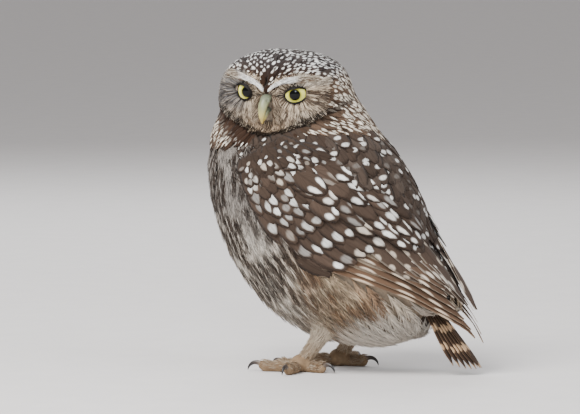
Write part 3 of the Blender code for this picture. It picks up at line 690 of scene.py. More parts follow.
# %% Plumage material
def plumage(name, repeat=1.0, barbs=22.0, slant=1.1, relief=0.35, contrast=0.5, paired=False, rim=0.0):
    """Ground colour, an elliptic mark repeated along the vane, and slanting barbs.

    A paired mark lies on both sides of the shaft, and the rim is the share of pale colour
    at the very edge.
    """
    made, tree, shader = blank_material(name, 0.85, 0.05)
    x, y, _ = parts(tree, uv_place(tree, "vane"))
    ground = attribute(tree, "ground")
    mark = attribute(tree, "mark")
    shape = attribute(tree, "shape")
    middle_x, middle_y, half_x = parts(tree, shape["Vector"])
    seed = calc(tree, "MULTIPLY", ground["Alpha"], 50.0)
    wobble = noise(tree, joined(tree, x, y, seed), 4.0)
    wobble = calc(tree, "MULTIPLY", calc(tree, "SUBTRACT", wobble, 0.5), 0.7)
    off_shaft = calc(tree, "ABSOLUTE", calc(tree, "SUBTRACT", x, 0.5))
    mark_x = calc(tree, "ADD", off_shaft, 0.5) if paired else x
    mark_y = calc(tree, "FRACT", calc(tree, "MULTIPLY", y, repeat))
    across_mark = calc(tree, "DIVIDE", calc(tree, "SUBTRACT", mark_x, middle_x), half_x)
    along_mark = calc(tree, "DIVIDE", calc(tree, "SUBTRACT", mark_y, middle_y), shape["Alpha"])
    squares = [calc(tree, "POWER", calc(tree, "ABSOLUTE", away), 2.0) for away in (across_mark, along_mark)]
    distance = calc(tree, "ADD", calc(tree, "SQRT", calc(tree, "ADD", *squares)), wobble)
    inside = mapped(tree, distance, 1.3, 0.6, 0.0, 1.0, "SMOOTHSTEP")
    inside = calc(tree, "MULTIPLY", inside, mark["Alpha"])
    if rim:
        inside = calc(tree, "MAXIMUM", inside, mapped(tree, off_shaft, 0.40, 0.49, 0.0, rim))
    barb = calc(tree, "SUBTRACT", y, calc(tree, "MULTIPLY", off_shaft, slant))
    lines = joined(tree, calc(tree, "MULTIPLY", barb, barbs), calc(tree, "MULTIPLY", off_shaft, 3.0), seed)
    streak = noise(tree, lines, 1.0, 3.0)
    shade = calc(tree, "ADD", calc(tree, "MULTIPLY", streak, contrast * 2), 1.0 - contrast)
    shade = calc(tree, "MULTIPLY", shade, mapped(tree, off_shaft, 0.02, 0.06, 0.8, 1.0))
    colour = scaled(tree, mix(tree, inside, ground["Color"], mark["Color"]), shade)
    colour_surface(tree, shader, colour, streak, relief, 0.0003)
    shader.inputs["Sheen Weight"].default_value = 0.04
    return made


LONG = {"barbs": 36.0, "slant": 0.5, "relief": 0.3, "paired": True}
CONTOUR = plumage("contour_feathers")
COVERT = plumage("wing_coverts", barbs=30.0, contrast=0.45)
SHOULDER = plumage("shoulder_feathers", barbs=30.0, contrast=0.45, paired=True)
FLIGHT = plumage("flight_feathers", repeat=4.5, contrast=0.35, rim=0.4, **LONG)
TAIL_BARS = plumage("tail_feathers", repeat=3.6, contrast=0.4, rim=0.15, **LONG)
print("feather finishes:", CONTOUR.name, COVERT.name, SHOULDER.name, FLIGHT.name, TAIL_BARS.name)

# %% [markdown]
# ## A vane
#
# A feather could be a flat card with a picture of barbs cut out by transparency, but a
# part that others reuse should be real geometry. Here each vane is a thin closed body:
# an upper face of a few strips that arches over the shaft, and a flat underside between
# its two edges. Its outline is a width profile from root to tip, and the end rows are
# pushed in and out a little to fray the tip. All vanes of a piece share one small table
# of faces, which is repeated with an offset.

# %% Vanes from paths
def many(name, points, quads, roots, values, look):
    """One mesh of alike feathers: points (count, steps, columns, 3), and the quads of the first.

    The UV map vane holds a point's place across and along its own feather, and OFBake its
    feather's place on the body. The values are attributes that spread over the points.
    """
    count, steps, columns, _ = points.shape
    size = steps * columns
    caps = np.stack([np.arange(columns)[::-1], size - columns + np.arange(columns)])
    offset = (np.arange(count) * size)[:, None, None]
    faces = [(quads[None] + offset).reshape(-1, 4), (caps[None] + offset).reshape(-1, columns)]
    made = fill_mesh(name, points.reshape(-1, 3), faces, look)
    place = np.broadcast_arrays(np.linspace(0, 1, columns)[None, :], np.linspace(0, 1, steps)[:, None])
    vane = np.tile(np.stack(place, -1).reshape(-1, 2), (count, 1))
    u, v = capsule_place(roots)
    add_uv(made, "vane", vane)
    add_uv(made, "OFBake", np.repeat(np.stack([v, u], -1), size, axis=0) * 0.99 + 0.003 * vane)
    for key, value in values.items():
        add_colour(made, key, np.broadcast_to(value, (count, steps, columns, 4)))
    outwards(made)
    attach(made, "root")
    print(f"{name}: {count} strips, {count * (2 * len(quads) + 2 * (columns - 2))} triangles")
    return made


def vane_piece(name, path, normals, half_width, look, roots, looks, arch, fray, columns=5, roll=0.0):
    """All vanes of a piece as one mesh, with their looks as ground, mark and shape.

    A point is path + side * width * x + normal * arch * width * (1 - x^2), for x from -1
    to 1 across the vane, with the side turned about the shaft by the roll.
    """
    count, steps, _ = path.shape
    forward = unit(np.gradient(path, axis=1))
    side = unit(np.cross(forward, normals))
    up = np.cross(side, forward)
    roll = np.broadcast_to(roll, count)[:, None, None]
    side, up = side * np.cos(roll) + up * np.sin(roll), up * np.cos(roll) - side * np.sin(roll)
    x = np.linspace(-1, 1, columns)[None, None, :, None]
    wide = half_width[:, :, None, None]
    points = path[:, :, None] + side[:, :, None] * wide * x
    points = points + up[:, :, None] * wide * (arch * (1 - x**2))
    jag = rng.normal(0, fray, (count, 1, columns, 1)) * np.linspace(0, 1, steps)[None, :, None, None] ** 3
    points = points + forward[:, :, None] * jag
    row = np.arange(steps - 1) * columns
    under = np.stack([row + columns - 1, row, row + columns, row + 2 * columns - 1], -1)
    quads = np.concatenate([grid_faces(steps, columns), under])
    values = {key: value[:, None, None] for key, value in zip(("ground", "mark", "shape"), looks)}
    return many(name, points, quads, roots, values, look)


def widths(profile, half, steps):
    """Half widths along each vane: a shared profile times each vane's own half width."""
    shape = smooth_rows(np.array(profile, float), np.linspace(0, 1, steps))
    return np.maximum(shape, 0.02)[None, :] * np.asarray(half, float)[:, None]


def tint(colour, count, spread):
    """Each vane's colour with its own lightness, and a random number in the fourth place."""
    light = uneven(count, spread)
    return np.concatenate([np.broadcast_to(colour, (count, 3)) * light, rng.random((count, 1))], 1)


def with_strength(colour, strength):
    """Each vane's mark colour, and the mark's strength in the fourth place."""
    return np.concatenate([np.broadcast_to(colour, (len(strength), 3)), strength[:, None]], 1)


def rise(low, high, steps):
    """Heights along each vane: low + (high - low) * share^0.7."""
    return low + np.asarray(high - low, float)[:, None] * np.linspace(0, 1, steps) ** 0.7


def lay(path, normals, low, high):
    """Raises a path off the surface, from a low root to a high tip."""
    return path + normals * rise(low, high, path.shape[1])[..., None]


OVAL = (0.35, 0.85, 1.0, 0.95, 0.62, 0.12)
BROAD = (0.35, 0.8, 1.0, 1.0, 0.85, 0.35)
print("widths of an oval vane:", widths(OVAL, [1.0], 5).round(2))

# %% [markdown]
# ## The skin
#
# Between and under the feathers there is skin and down. It is one closed surface from
# crown to toes: the body map drawn in by the depth of the coat, the two legs, and the
# toes with their pads. Voxel remeshing melts these overlapping tubes into one, the way
# clay is worked, and no seam is left where a leg joins the belly.

# %% Legs and toes
KNEE = {1: (21.5, 0, 34), -1: (-21.5, 6, 34)}
HIP = {1: (21, 2, 50), -1: (-21, 5, 50)}
ANKLE = {1: (20.5, -6.6, 20), -1: (-21.5, 0.5, 19.5)}
FOOT = {1: (20.5, -17.4, 5), -1: (-21.5, -8, 5)}
FOOT_TURN = {1: 2, -1: 10}  # degrees
TOES = {"hallux": (163, 0, 12.5), "inner": (-30, -3.4, 16), "middle": (4, 2.6, 20.5), "outer": (86, 1, 18)}
TOE_ROOT, TOE_HALF_WIDTH, TOE_HALF_HEIGHT, TOE_CENTRE = 4.4, 3.1, 3.8, 3.0
PAD_RADIUS, PAD_HEIGHT = 6.6, 5.7
COAT_DEPTH = 2.2
SOLE_HEIGHT = 0.0001  # metres: the skin stops just above the floor
X, Y, Z = np.eye(3)


def toe_heading(sign, degrees):
    """Compass direction of a toe."""
    turn = math.radians(degrees + FOOT_TURN[sign])
    return np.array([sign * math.sin(turn), -math.cos(turn), 0.0])


def toe_path(sign, toe, t):
    """Points along a toe: straight, with its end lifted a little for the claw."""
    degrees, shift, length = TOES[toe]
    heading = toe_heading(sign, degrees)
    start = np.array(FOOT[sign]) + toe_heading(sign, 90) * shift + heading * TOE_ROOT
    start[2] = TOE_CENTRE
    lift = 1.9 * np.clip((t - 0.7) / 0.3, 0, 1) ** 2
    return start + heading * (t * length)[:, None] + Z * lift[:, None]


def toe_sizes(t):
    """Share of the full width along a toe: a taper times the waves of its joint pads."""
    taper = np.interp(t, [0, 0.15, 0.8, 0.93, 1], [0.72, 0.95, 0.95, 0.8, 0.62])
    return taper * (1 + 0.09 * np.cos(5 * math.pi * t))


def leg_path(sign, t):
    """Points and radii down a leg, from inside the flank to the ball of the foot."""
    places = np.array([HIP[sign], KNEE[sign], ANKLE[sign], FOOT[sign]], float)
    return smooth_rows(places, t), smooth_rows(np.array([8.5, 10.6, 4.6, 3.3]), t)


def make_skin(look):
    """The body map drawn in by the coat's depth, joined with legs and toes into one surface."""
    rings = GRID_START + GRID_DIRECTION * (RADIUS - COAT_DEPTH)[..., None]
    pieces = [closed_tube("body", rings, look)]
    t = np.linspace(0, 1, 28)
    for _, sign in SIDES:
        path, size = leg_path(sign, t)
        pieces.append(closed_tube("leg", tube_rings(path, size, size, 32, up=(0, 1, 0.3)), look))
        polar = np.linspace(0, math.pi, 20)[1:-1, None, None]
        turn = np.linspace(0, 2 * math.pi, 32, endpoint=False)[None, :, None]
        level = np.sin(polar) * (np.cos(turn) * X + np.sin(turn) * Y)
        ball = np.array(FOOT[sign]) + level * PAD_RADIUS + np.cos(polar) * Z * PAD_HEIGHT
        pieces.append(closed_tube("ball", ball, look))
        for toe in TOES:
            share = toe_sizes(t)
            rings = tube_rings(toe_path(sign, toe, t), TOE_HALF_WIDTH * share, TOE_HALF_HEIGHT * share, 24)
            pieces.append(closed_tube("toe", rings, look))
    bpy.ops.object.select_all(action="DESELECT")
    for piece in pieces:
        piece.select_set(True)
    bpy.context.view_layer.objects.active = pieces[0]
    bpy.ops.object.join()
    skin = pieces[0]
    skin.name = "skin"
    melt = skin.modifiers.new("melt", "REMESH")
    melt.mode = "VOXEL"
    melt.voxel_size = 1.0 * MM
    melt.use_smooth_shade = True
    ease = skin.modifiers.new("ease", "SMOOTH")
    ease.factor = 0.5
    ease.iterations = 5
    bpy.ops.object.convert(target="MESH")
    co = np.zeros(len(skin.data.vertices) * 3, np.float32)
    skin.data.vertices.foreach_get("co", co)
    co[2::3] = np.maximum(co[2::3], SOLE_HEIGHT)
    skin.data.vertices.foreach_set("co", co)
    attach(skin, "root")
    return skin


def skin_material():
    """Grey-buff down on the body, and warm buff, finely scaled skin on the feet."""
    made, tree, shader = blank_material("skin_and_down", 0.85, 0.2)
    place = object_place(tree)
    mottle = noise(tree, place, 260.0, 4.0)
    cells = add_node(tree, "ShaderNodeTexVoronoi", {}, {"Vector": place, "Scale": 900.0})
    down = mix(tree, mottle, GREY_BROWN * 0.6, BUFF * 0.9)
    foot = mix(tree, mottle, paint(92, 70, 50), paint(158, 134, 106))
    above_feet = mapped(tree, parts(tree, place)[2], 0.017, 0.026, 0.0, 1.0)
    colour_surface(tree, shader, mix(tree, above_feet, foot, down), cells.outputs["Distance"], 0.6, 0.0004)
    return made


skin = make_skin(skin_material())
FLESH = ["head", "neck", "torso", "wing_left", "wing_right", "tail"]
for side, _ in SIDES:
    FLESH += [f"thigh_{side}", f"tarsus_{side}", *(f"toe_{side}_{toe}" for toe in TOES)]
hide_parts(*FLESH)
print("skin faces:", len(skin.data.polygons))

# %% [markdown]
# ## Eyes
#
# An owl's eye is a shiny ball with a black pupil and a lemon iris, held in dark lids. The
# ball's second texture coordinate is the angle from its axis, so the pupil and the rims
# are bands of that angle, and the iris gets fine rays from noise that is drawn out
# along the angle. A clear coat over the colour gives the wet glint.

# %% Eyes and lids
LID_HALF_WIDTH, LID_ABOVE, LID_BELOW = 6.8, 3.2, 4.4
LID_INNER = {1: 6.1, -1: 5.0}  # the corner beside the bill is nearer to the pupil
LID_TILT = math.radians(12)
LID_BAND = math.radians(98)
GAZE_TURN = {1: math.radians(17), -1: math.radians(-6)}  # the far eye glances towards the viewer
CORNEA = 0.5


def eye_frame(sign, turn=EYE_TURN):
    """Centre of an eye and its outward axis, side and up, in the head's frame."""
    axis = np.array([math.cos(turn), sign * math.sin(turn), 0.0])
    side = np.array([-math.sin(turn), sign * math.cos(turn), 0.0])
    return np.array([EYE_F, sign * EYE_L, EYE_U]), axis, side, Z


def on_ball(eye, polar, turn, reach):
    """World place at an angle from an eye's axis, a turn round it and a distance from its centre."""
    centre, axis, side, up = eye
    polar, turn, reach = (np.asarray(value)[..., None] for value in np.broadcast_arrays(polar, turn, reach))
    away = np.cos(polar) * axis + np.sin(polar) * (np.cos(turn) * side + np.sin(turn) * up)
    return from_head(centre + reach * away)


def iris_material():
    """Black pupil, rayed yellow iris and black rim, by the angle from the eye's axis."""
    made, tree, shader = blank_material("iris", 0.4, 0.0)
    turn, polar, _ = parts(tree, uv_place(tree, "eye"))
    rays = noise(tree, joined(tree, calc(tree, "MULTIPLY", turn, 60.0), polar), 2.0, 3.0)
    quarter = calc(tree, "DIVIDE", calc(tree, "MULTIPLY", polar, 180.0), 90.0)
    colour = ramp(tree, quarter, [
        (0.0, paint(0, 1, 2)), (0.245, paint(0, 1, 2)), (0.257, paint(140, 136, 44)),
        (0.34, paint(226, 222, 96)), (0.48, paint(250, 246, 140)), (0.545, paint(222, 214, 96)),
        (0.575, paint(10, 8, 8)), (1.0, paint(10, 8, 8)),
    ])
    shade = calc(tree, "ADD", calc(tree, "MULTIPLY", rays, 0.7), 0.65)
    colour_surface(tree, shader, scaled(tree, colour, shade))
    shader.inputs["Coat Weight"].default_value = 0.45
    shader.inputs["Coat Roughness"].default_value = 0.015
    return made


def make_eye(name, sign, look):
    """A ball about the direction of gaze with a slightly raised front, like a cornea."""
    rows, sides = 48, 64
    eye = eye_frame(sign, GAZE_TURN[sign])
    polar = np.linspace(0, math.pi, rows + 2)[1:-1, None]
    turn = np.linspace(0, 2 * math.pi, sides + 1)[None, :]
    rings = on_ball(eye, polar, turn, EYE_RADIUS + CORNEA * np.clip(np.cos(polar), 0, 1) ** 6)
    ends = from_head(eye[0] + np.outer([EYE_RADIUS + CORNEA, -EYE_RADIUS], eye[1]))
    points = np.concatenate([rings.reshape(-1, 3), ends])
    j = np.arange(sides)
    last = (rows - 1) * (sides + 1)
    pole = np.full(sides, rows * (sides + 1))
    caps = np.concatenate([np.stack([j + 1, j, pole], -1), np.stack([last + j, last + j + 1, pole + 1], -1)])
    made = fill_mesh(name, points, [grid_faces(rows, sides + 1), caps], look)
    uv = np.stack(np.broadcast_arrays(np.linspace(0, 1, sides + 1)[None, :], polar / math.pi), -1)
    add_uv(made, "eye", np.concatenate([uv.reshape(-1, 2), [[0.5, 0], [0.5, 1]]]))
    outwards(made)
    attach(made, "root")
    return made


def lid_opening(turn, inner):
    """Side and height of the opening's edge in the eye's frame: an oval with a higher outer corner."""
    tall = np.where(np.sin(turn) > 0, LID_ABOVE, LID_BELOW)
    wide = np.where(np.cos(turn) > 0, LID_HALF_WIDTH, inner) * np.cos(turn)
    wide = wide * (1 + 0.05 * np.clip(np.cos(turn), 0, 1) ** 6)
    high = tall * np.sin(turn)
    c, s = math.cos(LID_TILT), math.sin(LID_TILT)
    return wide * c - high * s, wide * s + high * c


def make_lid(name, sign, look):
    """The lids' skin, a band of a slightly larger ball, with a swollen edge round the opening."""
    rows, sides = 18, 96
    flat_side, flat_up = lid_opening(np.linspace(0, 2 * math.pi, sides, endpoint=False), LID_INNER[sign])
    edge = np.arcsin(np.hypot(flat_side, flat_up) / EYE_RADIUS)[None, :]
    turn = np.arctan2(flat_up, flat_side)[None, :]
    share = np.linspace(0, 1, rows)[:, None] ** 1.5
    polar = edge + (LID_BAND - edge) * share
    swell = 0.35 + 0.65 * np.exp(-((share * 8.0) ** 2)) * (1 + 0.5 * np.clip(np.sin(turn), 0, 1))
    outer = on_ball(eye_frame(sign), polar, turn, EYE_RADIUS + swell)
    inner = on_ball(eye_frame(sign), polar + 0.02, turn, EYE_RADIUS - 0.1)
    rings = np.concatenate([outer, inner[::-1], outer[:1]])
    quads = grid_faces(len(rings), sides, True) % (2 * rows * sides)
    made = fill_mesh(name, rings[:-1].reshape(-1, 3), [quads], look)
    outwards(made)
    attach(made, "root")
    return made


iris = iris_material()
lid_rim = speckled("lid_rim", 0.6, 1500.0, paint(8, 6, 6), paint(30, 24, 22))
for side, sign in SIDES:
    eye = make_eye(f"eyeball_{side}", sign, iris)
    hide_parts(f"eye_{side}")
    make_lid(f"lids_{side}", sign, lid_rim)
EYES = {sign: from_head([EYE_F, sign * EYE_L, EYE_U]) for _, sign in SIDES}
print("eye centres", EYES[1].round(1), EYES[-1].round(1))

# %% [markdown]
# ## Bill and claws
#
# Both are horn, hooked and tapering, so both are the same kind of surface: an ellipse
# carried along a curved path. The bill's widths and depths come from a few rows joined by
# a smooth curve. Its nostrils are two dents pressed in with a bell curve, in the swollen
# band of softer skin at its root.

# %% Bill
UPPER_BILL = np.array([[23, 4.8, 3, 3.2], [29.2, 4.8, 3.5, 3.8], [33.4, 1.2, 3.1, 3.4],
                       [35.4, -3.8, 1.9, 2.3], [34.6, -9.0, 0.5, 0.7]])  # f, u, half width, half depth
LOWER_BILL = np.array([[24, -1.8, 2.3, 2.2], [28.8, -3, 2.6, 2.3], [31.6, -5.4, 2.1, 1.9],
                       [33, -7.8, 0.9, 0.8]])
BILL_SLENDER = (0.74, 0.86)  # the bill of the photo is slimmer than the solid under it
NOSTRIL, NOSTRIL_SIZE, NOSTRIL_DEPTH = np.array([32.2, 2.8, 4.4]), np.array([1.0, 0.9, 1.1]), 0.9


def horn_material(name, stops, lines_along, roughness):
    """Horn whose colour follows a UV coordinate along it, with faint growth lines."""
    made, tree, shader = blank_material(name, roughness)
    around, along, _ = parts(tree, uv_place(tree, "along"))
    grain = joined(tree, calc(tree, "MULTIPLY", around, 12.0), calc(tree, "MULTIPLY", along, lines_along))
    lines = noise(tree, grain, 2.0, 4.0)
    shade = calc(tree, "ADD", calc(tree, "MULTIPLY", lines, 0.5), 0.75)
    colour_surface(tree, shader, scaled(tree, ramp(tree, along, stops), shade), lines, 0.15, 0.0002)
    return made


def horn_tube(name, rings, ends, look, node):
    """A closed horn piece with a UV map: x round it and y from its root to its tip."""
    made = closed_tube(name, rings, look, *ends)
    rows, sides, _ = rings.shape
    turn = np.abs(np.linspace(-1, 1, sides, endpoint=False))
    uv = np.stack(np.broadcast_arrays(turn[None, :], np.linspace(0, 1, rows)[:, None]), -1).reshape(-1, 2)
    add_uv(made, "along", np.concatenate([uv, [[0.5, 0], [0.5, 1]]]))
    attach(made, "root")
    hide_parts(node)
    return made


def make_bill(name, stations, look, node, ridge):
    """Ellipses along the bill's curve, pinched to a ridge on top and dented at the nostrils."""
    f, u, wide, deep = smooth_rows(stations, np.linspace(0, 1, 48)).T
    path = np.stack([f, np.zeros_like(f), u], -1)
    rings = tube_rings(path, wide * BILL_SLENDER[0], deep * BILL_SLENDER[1], 48, up=(0, 1, 0.001))
    side = np.abs(rings[..., 1]) / np.maximum(wide[:, None], 0.1)
    rings[..., 1] *= 1 - ridge * (1 - side) * np.clip((rings[..., 0] - f[:, None]) / 3.0, 0, 1)
    from_nostril = np.stack([rings[..., 0], np.abs(rings[..., 1]), rings[..., 2]], -1) - NOSTRIL
    dent = np.exp(-((from_nostril / NOSTRIL_SIZE) ** 2).sum(-1))
    rings -= unit(rings - path[:, None]) * (dent * NOSTRIL_DEPTH)[..., None]
    first = path[0] - (path[1] - path[0]) * 0.2
    last = path[-1] + (path[-1] - path[-2]) * 1.5
    made = horn_tube(name, from_head(rings), from_head(np.stack([first, last])), look, node)
    return made


bill_look = horn_material("bill_horn", [
    (0.0, paint(78, 82, 76)), (0.35, paint(112, 117, 94)), (0.6, paint(146, 146, 102)),
    (0.8, paint(192, 176, 98)), (1.0, paint(184, 150, 70)),
], 3.0, 0.35)
make_bill("bill_upper_horn", UPPER_BILL, bill_look, "bill_upper", 0.25)
make_bill("bill_lower_horn", LOWER_BILL, bill_look, "bill_lower", 0.0)
print("bill tip at", from_head([UPPER_BILL[-1, 0], 0.0, UPPER_BILL[-1, 1]]).round(1))

# %% [markdown]
# Each claw is an arc of fixed length whose slope runs from upward to straight down. It
# grows out of the end of its toe and stops just above the floor.

# %% Claws
CLAW_ROWS, CLAW_LENGTH = 24, 10.4
claw_look = horn_material("claw_horn", [
    (0.0, paint(120, 104, 88)), (0.25, paint(70, 60, 54)), (0.6, paint(40, 36, 36)),
    (1.0, paint(22, 20, 22)),
], 2.0, 0.28)
bend = np.radians(np.linspace(30, -88, CLAW_ROWS))
step = CLAW_LENGTH / (CLAW_ROWS - 1)
run, drop = (np.concatenate([[0], np.cumsum(turn(bend[:-1]) * step)]) for turn in (np.cos, np.sin))
size = 1.4 * np.linspace(1, 0.0, CLAW_ROWS) ** 0.7 + 0.08
for side, sign in SIDES:
    for toe, (degrees, _, _) in TOES.items():
        base = toe_path(sign, toe, np.array([0.97]))[0]
        path = base + toe_heading(sign, degrees) * run[:, None] + Z * drop[:, None]
        rings = tube_rings(path, size * 0.92, size * 1.12, 20)
        rings[..., 2] = np.maximum(rings[..., 2], 0.15)
        ends = (path[0], path[-1])
        made = horn_tube(f"claw_{side}_{toe}_horn", rings, ends, claw_look, f"claw_{side}_{toe}")
print("claws:", len(SIDES) * len(TOES))

# %% [markdown]
# ## How the feathers lie
#
# Every feather points away from the bill on the head and down the leaning body below it.
# These two directions are vector fields: given a place, they return the way ahead. The
# face has its own field that spreads from each eye, which is what makes an owl's disc.

# %% Directions and regions
BILL_BASE = from_head([29.0, 0.0, 6.0])


def head_lie(point, normal):
    """Away from the bill, turning down towards the body at the back of the head."""
    behind = smoothstep(12, -25, to_head(point)[..., 0])[..., None]
    return unit(point - BILL_BASE) + BODY_DOWN * (0.25 + 1.2 * behind)


def body_lie(point, normal):
    """Down the body's axis, a little out to each side on the breast."""
    return BODY_DOWN + np.sign(point[..., :1]) * 0.12 * X


def face_lie(point, normal):
    """Away from the nearer eye, and near the middle away from the bill."""
    side = to_head(point)[..., 1]
    from_eye = unit(point - np.where(side[..., None] > 0, EYES[1], EYES[-1]))
    from_bill = unit(point - BILL_BASE)
    middle = np.exp(-((side / 7.0) ** 2))[..., None]
    return flatten(from_eye, normal) * (1 - middle) + flatten(from_bill, normal) * middle * 1.4


def wing_place(points):
    """The inverse of wing_point: s, t for places near the cloak."""
    q = points[..., 1] * math.cos(LEAN) - points[..., 2] * math.sin(LEAN)
    d = points[..., 1] * math.sin(LEAN) + points[..., 2] * math.cos(LEAN)
    middle, half, width = cloak_sizes(q)
    angle = np.degrees(np.arctan2((d - middle) / half, np.abs(points[..., 0]) / width))
    s = (q - WING_Q0) / (WING_TIP_Q[1] - WING_Q0)
    low = smooth_rows(LOWER_EDGE, s)
    high = smooth_rows(UPPER_EDGE, s)
    return s, (angle - low) / (high - low)


def face_border(side):
    """Height of the disc's lower border in the face: low under the bill, rising to each side."""
    return -16.5 + 13.0 * np.clip(np.abs(side) / 34.0, 0, 1.3) ** 1.4


def patches(points, scale, seed):
    """A soft irregular field from 0 to 1: a sum of sine waves that run in different directions."""
    waves = np.random.default_rng(seed)
    total = np.zeros(points.shape[:-1])
    for k in range(6):
        direction = unit(waves.normal(size=3)) * (0.7 + 0.25 * k) / scale
        total = total + np.sin(points @ direction * 2 * math.pi + waves.uniform(0, 6.3))
    return np.clip(0.5 + total / 5.0, 0, 1)


GRID_F, GRID_SIDE, GRID_UP = np.moveaxis(to_head(GRID_POINT), -1, 0)
GRID_Y, GRID_Z = GRID_POINT[..., 1], GRID_POINT[..., 2]
HEAD_LINE = 141.0 + 5.0 * smoothstep(-60, -10, GRID_Y)
ON_HEAD = (GRID_Z > HEAD_LINE) & (GRID_U < 0.55)
IN_FACE = ON_HEAD & (GRID_F > 2) & (GRID_UP < brow_height(GRID_SIDE) - 1.2)
IN_FACE &= (GRID_UP > face_border(GRID_SIDE)) & (np.abs(GRID_SIDE) < 31.5)
GRID_S, GRID_T = wing_place(GRID_POINT)
ON_WING = (GRID_S > 0.03) & (GRID_T > 0.10) & (GRID_T < 1.0) & ~ON_HEAD
print("head", int(ON_HEAD.sum()), "face", int(IN_FACE.sum()), "wing", int(ON_WING.sum()), "places")

# %% [markdown]
# ## Loose feathers
#
# The breast and belly feathers of an owl have soft, separate barbs. As a plain vane each
# would look like a fish scale. So a loose feather is made of its barbs: thin strips that
# leave the shaft one after the other and lean out to both sides. The dark streaks are
# dashes on the body's map, and each place on a strip takes its colour from there, a little
# shifted, so the frayed edges of neighbours mingle as they do on the bird.

# %% Barbs along a shaft
def down_material():
    """Soft barbs: the colours they carry, a little lighter and darker along each."""
    made, tree, shader = blank_material("soft_barbs", 0.9, 0.05)
    ground = attribute(tree, "ground")
    x, y, _ = parts(tree, uv_place(tree, "vane"))
    fine = noise(tree, joined(tree, x, y, calc(tree, "MULTIPLY", ground["Alpha"], 60.0)), 3.0)
    shade = calc(tree, "ADD", calc(tree, "MULTIPLY", fine, 0.6), 0.7)
    colour_surface(tree, shader, scaled(tree, ground["Color"], shade))
    shader.inputs["Sheen Weight"].default_value = 0.06
    return made


DOWN_LOOK = down_material()
BARB_STEPS = 4
BARB_SHARE = np.linspace(0, 1, BARB_STEPS)
SHAFT_STEPS = 7  # places along the shaft of a body feather
STRIP_REACH = 0.42  # share of the shaft that one strip runs along


def barb_piece(name, path, normals, width, roots, colours):
    """Thin strips of three-sided section along paths, with a colour for each of their places."""
    count, steps, _ = path.shape
    side = unit(np.cross(unit(np.gradient(path, axis=1)), normals))
    wide = (np.linspace(1, 0.12, steps) ** 0.7)[None, :, None] * width[:, None, None]
    edge = np.stack([path - side * wide, path + normals * wide * 0.8, path + side * wide], 2)
    return many(name, edge, grid_faces(steps, 3, True), roots, {"ground": colours[:, :, None]}, DOWN_LOOK)


def seeded(colours):
    """Colours of barbs (count, steps, 3) with one random number for each barb in the fourth place."""
    number = np.broadcast_to(rng.random((len(colours), 1, 1)), (*colours.shape[:2], 1))
    return np.concatenate([colours, number], -1)


def from_base_to_tip(base, tip):
    """Colours that run from each barb's base to its tip."""
    share = BARB_SHARE[None, :, None]
    return base[:, None] * (1 - share) + tip[:, None] * share


def sample_path(path, share):
    """Places at a share from 0 to 1 along each path, and on in a straight line past its end."""
    last = path.shape[1] - 1
    place = share * last
    k = np.clip(place.astype(int), 0, last - 1)
    row = np.arange(len(path))[:, None, None]
    f = (place - k)[..., None]
    return path[row, k] * (1 - f) + path[row, k + 1] * f


def dashes(points):
    """Dashes down the body from 0 to 1: columns round the capsule, broken along it, each out of step.

    With c = 62 v + 0.18 sin(60 u + 9 v) + 0.3 sin(37 v), a dash lies near the middle of
    c's cell and in the first part of the run 7 u + 0.618 floor(c) + 0.35 sin(2.3 floor(c) + 23 u).
    """
    u, v = capsule_place(points.reshape(-1, 3))
    column = v * 62 + 0.18 * np.sin(u * 60 + 9.0 * v) + 0.3 * np.sin(v * 37)
    run = (u * 7 + np.floor(column) * 0.618 + 0.35 * np.sin(np.floor(column) * 2.3 + u * 23)) % 1
    wide = smoothstep(0.48, 0.32, np.abs(column % 1 - 0.5))
    long = smoothstep(0.0, 0.08, run) * smoothstep(0.96, 0.80, run)
    return (wide * long).reshape(points.shape[:-1])


def streaked(strip, dark, pale, share_dark, light):
    """Barb colours: dark by the dash at each place, a little shifted for each strip so that edges fray."""
    count, barbs = strip.shape[:2]
    streak = dashes(strip + rng.normal(0, 0.6, (count, barbs, 1, 3)))
    streak = (streak * share_dark[:, None, None] * rng.uniform(0.85, 1.0, (count, barbs, 1)))[..., None]
    tone = dark[:, None, None] * streak + pale[:, None, None] * (1 - streak)
    return tone * (light[:, None, None] * np.exp(rng.normal(0, 0.08, (count, barbs, 1))))[..., None]


def loose_feathers(name, roots, looks, lengths, half, barbs, low, high, thickness):
    """Feathers as strips that leave the shaft in turn and lean outwards along the feather.

    A strip starts at share a of the shaft and ends at about a + STRIP_REACH, where it has
    moved to the side by the feather's half width times its own number between -1 and 1.
    """
    path, normals = walk(roots, body_lie, lengths, SHAFT_STEPS)
    count = len(roots)
    side = unit(np.cross(unit(np.gradient(path, axis=1)), normals))
    number = (np.arange(barbs)[None, :] + rng.uniform(-0.3, 0.3, (count, barbs))) / barbs
    start = 0.05 + 0.72 * number
    lean = np.sin(np.arange(barbs) * 2.4)[None, :] + rng.uniform(-0.25, 0.25, (count, barbs))
    outline = np.sqrt(np.clip(1 - (2 * number - 0.95) ** 2, 0.08, 1))
    along = start[..., None] + STRIP_REACH * BARB_SHARE * rng.uniform(0.75, 1.2, (count, barbs))[..., None]
    off = (lean * outline)[..., None] * BARB_SHARE**0.8 * half[:, None, None]
    height = low + (high - low) * np.clip(along, 0, 1.3)
    height = height + rng.uniform(-0.25, 0.45, (count, barbs, 1)) * BARB_SHARE
    lift = sample_path(normals, np.clip(along, 0, 1))
    aside = sample_path(side, np.clip(along, 0, 1))
    strip = sample_path(path, along) + aside * off[..., None] + lift * height[..., None]
    flat = (count * barbs, BARB_STEPS, 3)
    colours = seeded(streaked(strip, *looks).reshape(flat))
    wide = thickness * rng.uniform(0.8, 1.25, count * barbs)
    roots = np.repeat(roots, barbs, axis=0)
    return barb_piece(name, strip.reshape(flat), lift.reshape(flat), wide, roots, colours)


print("loose feather helpers ready")

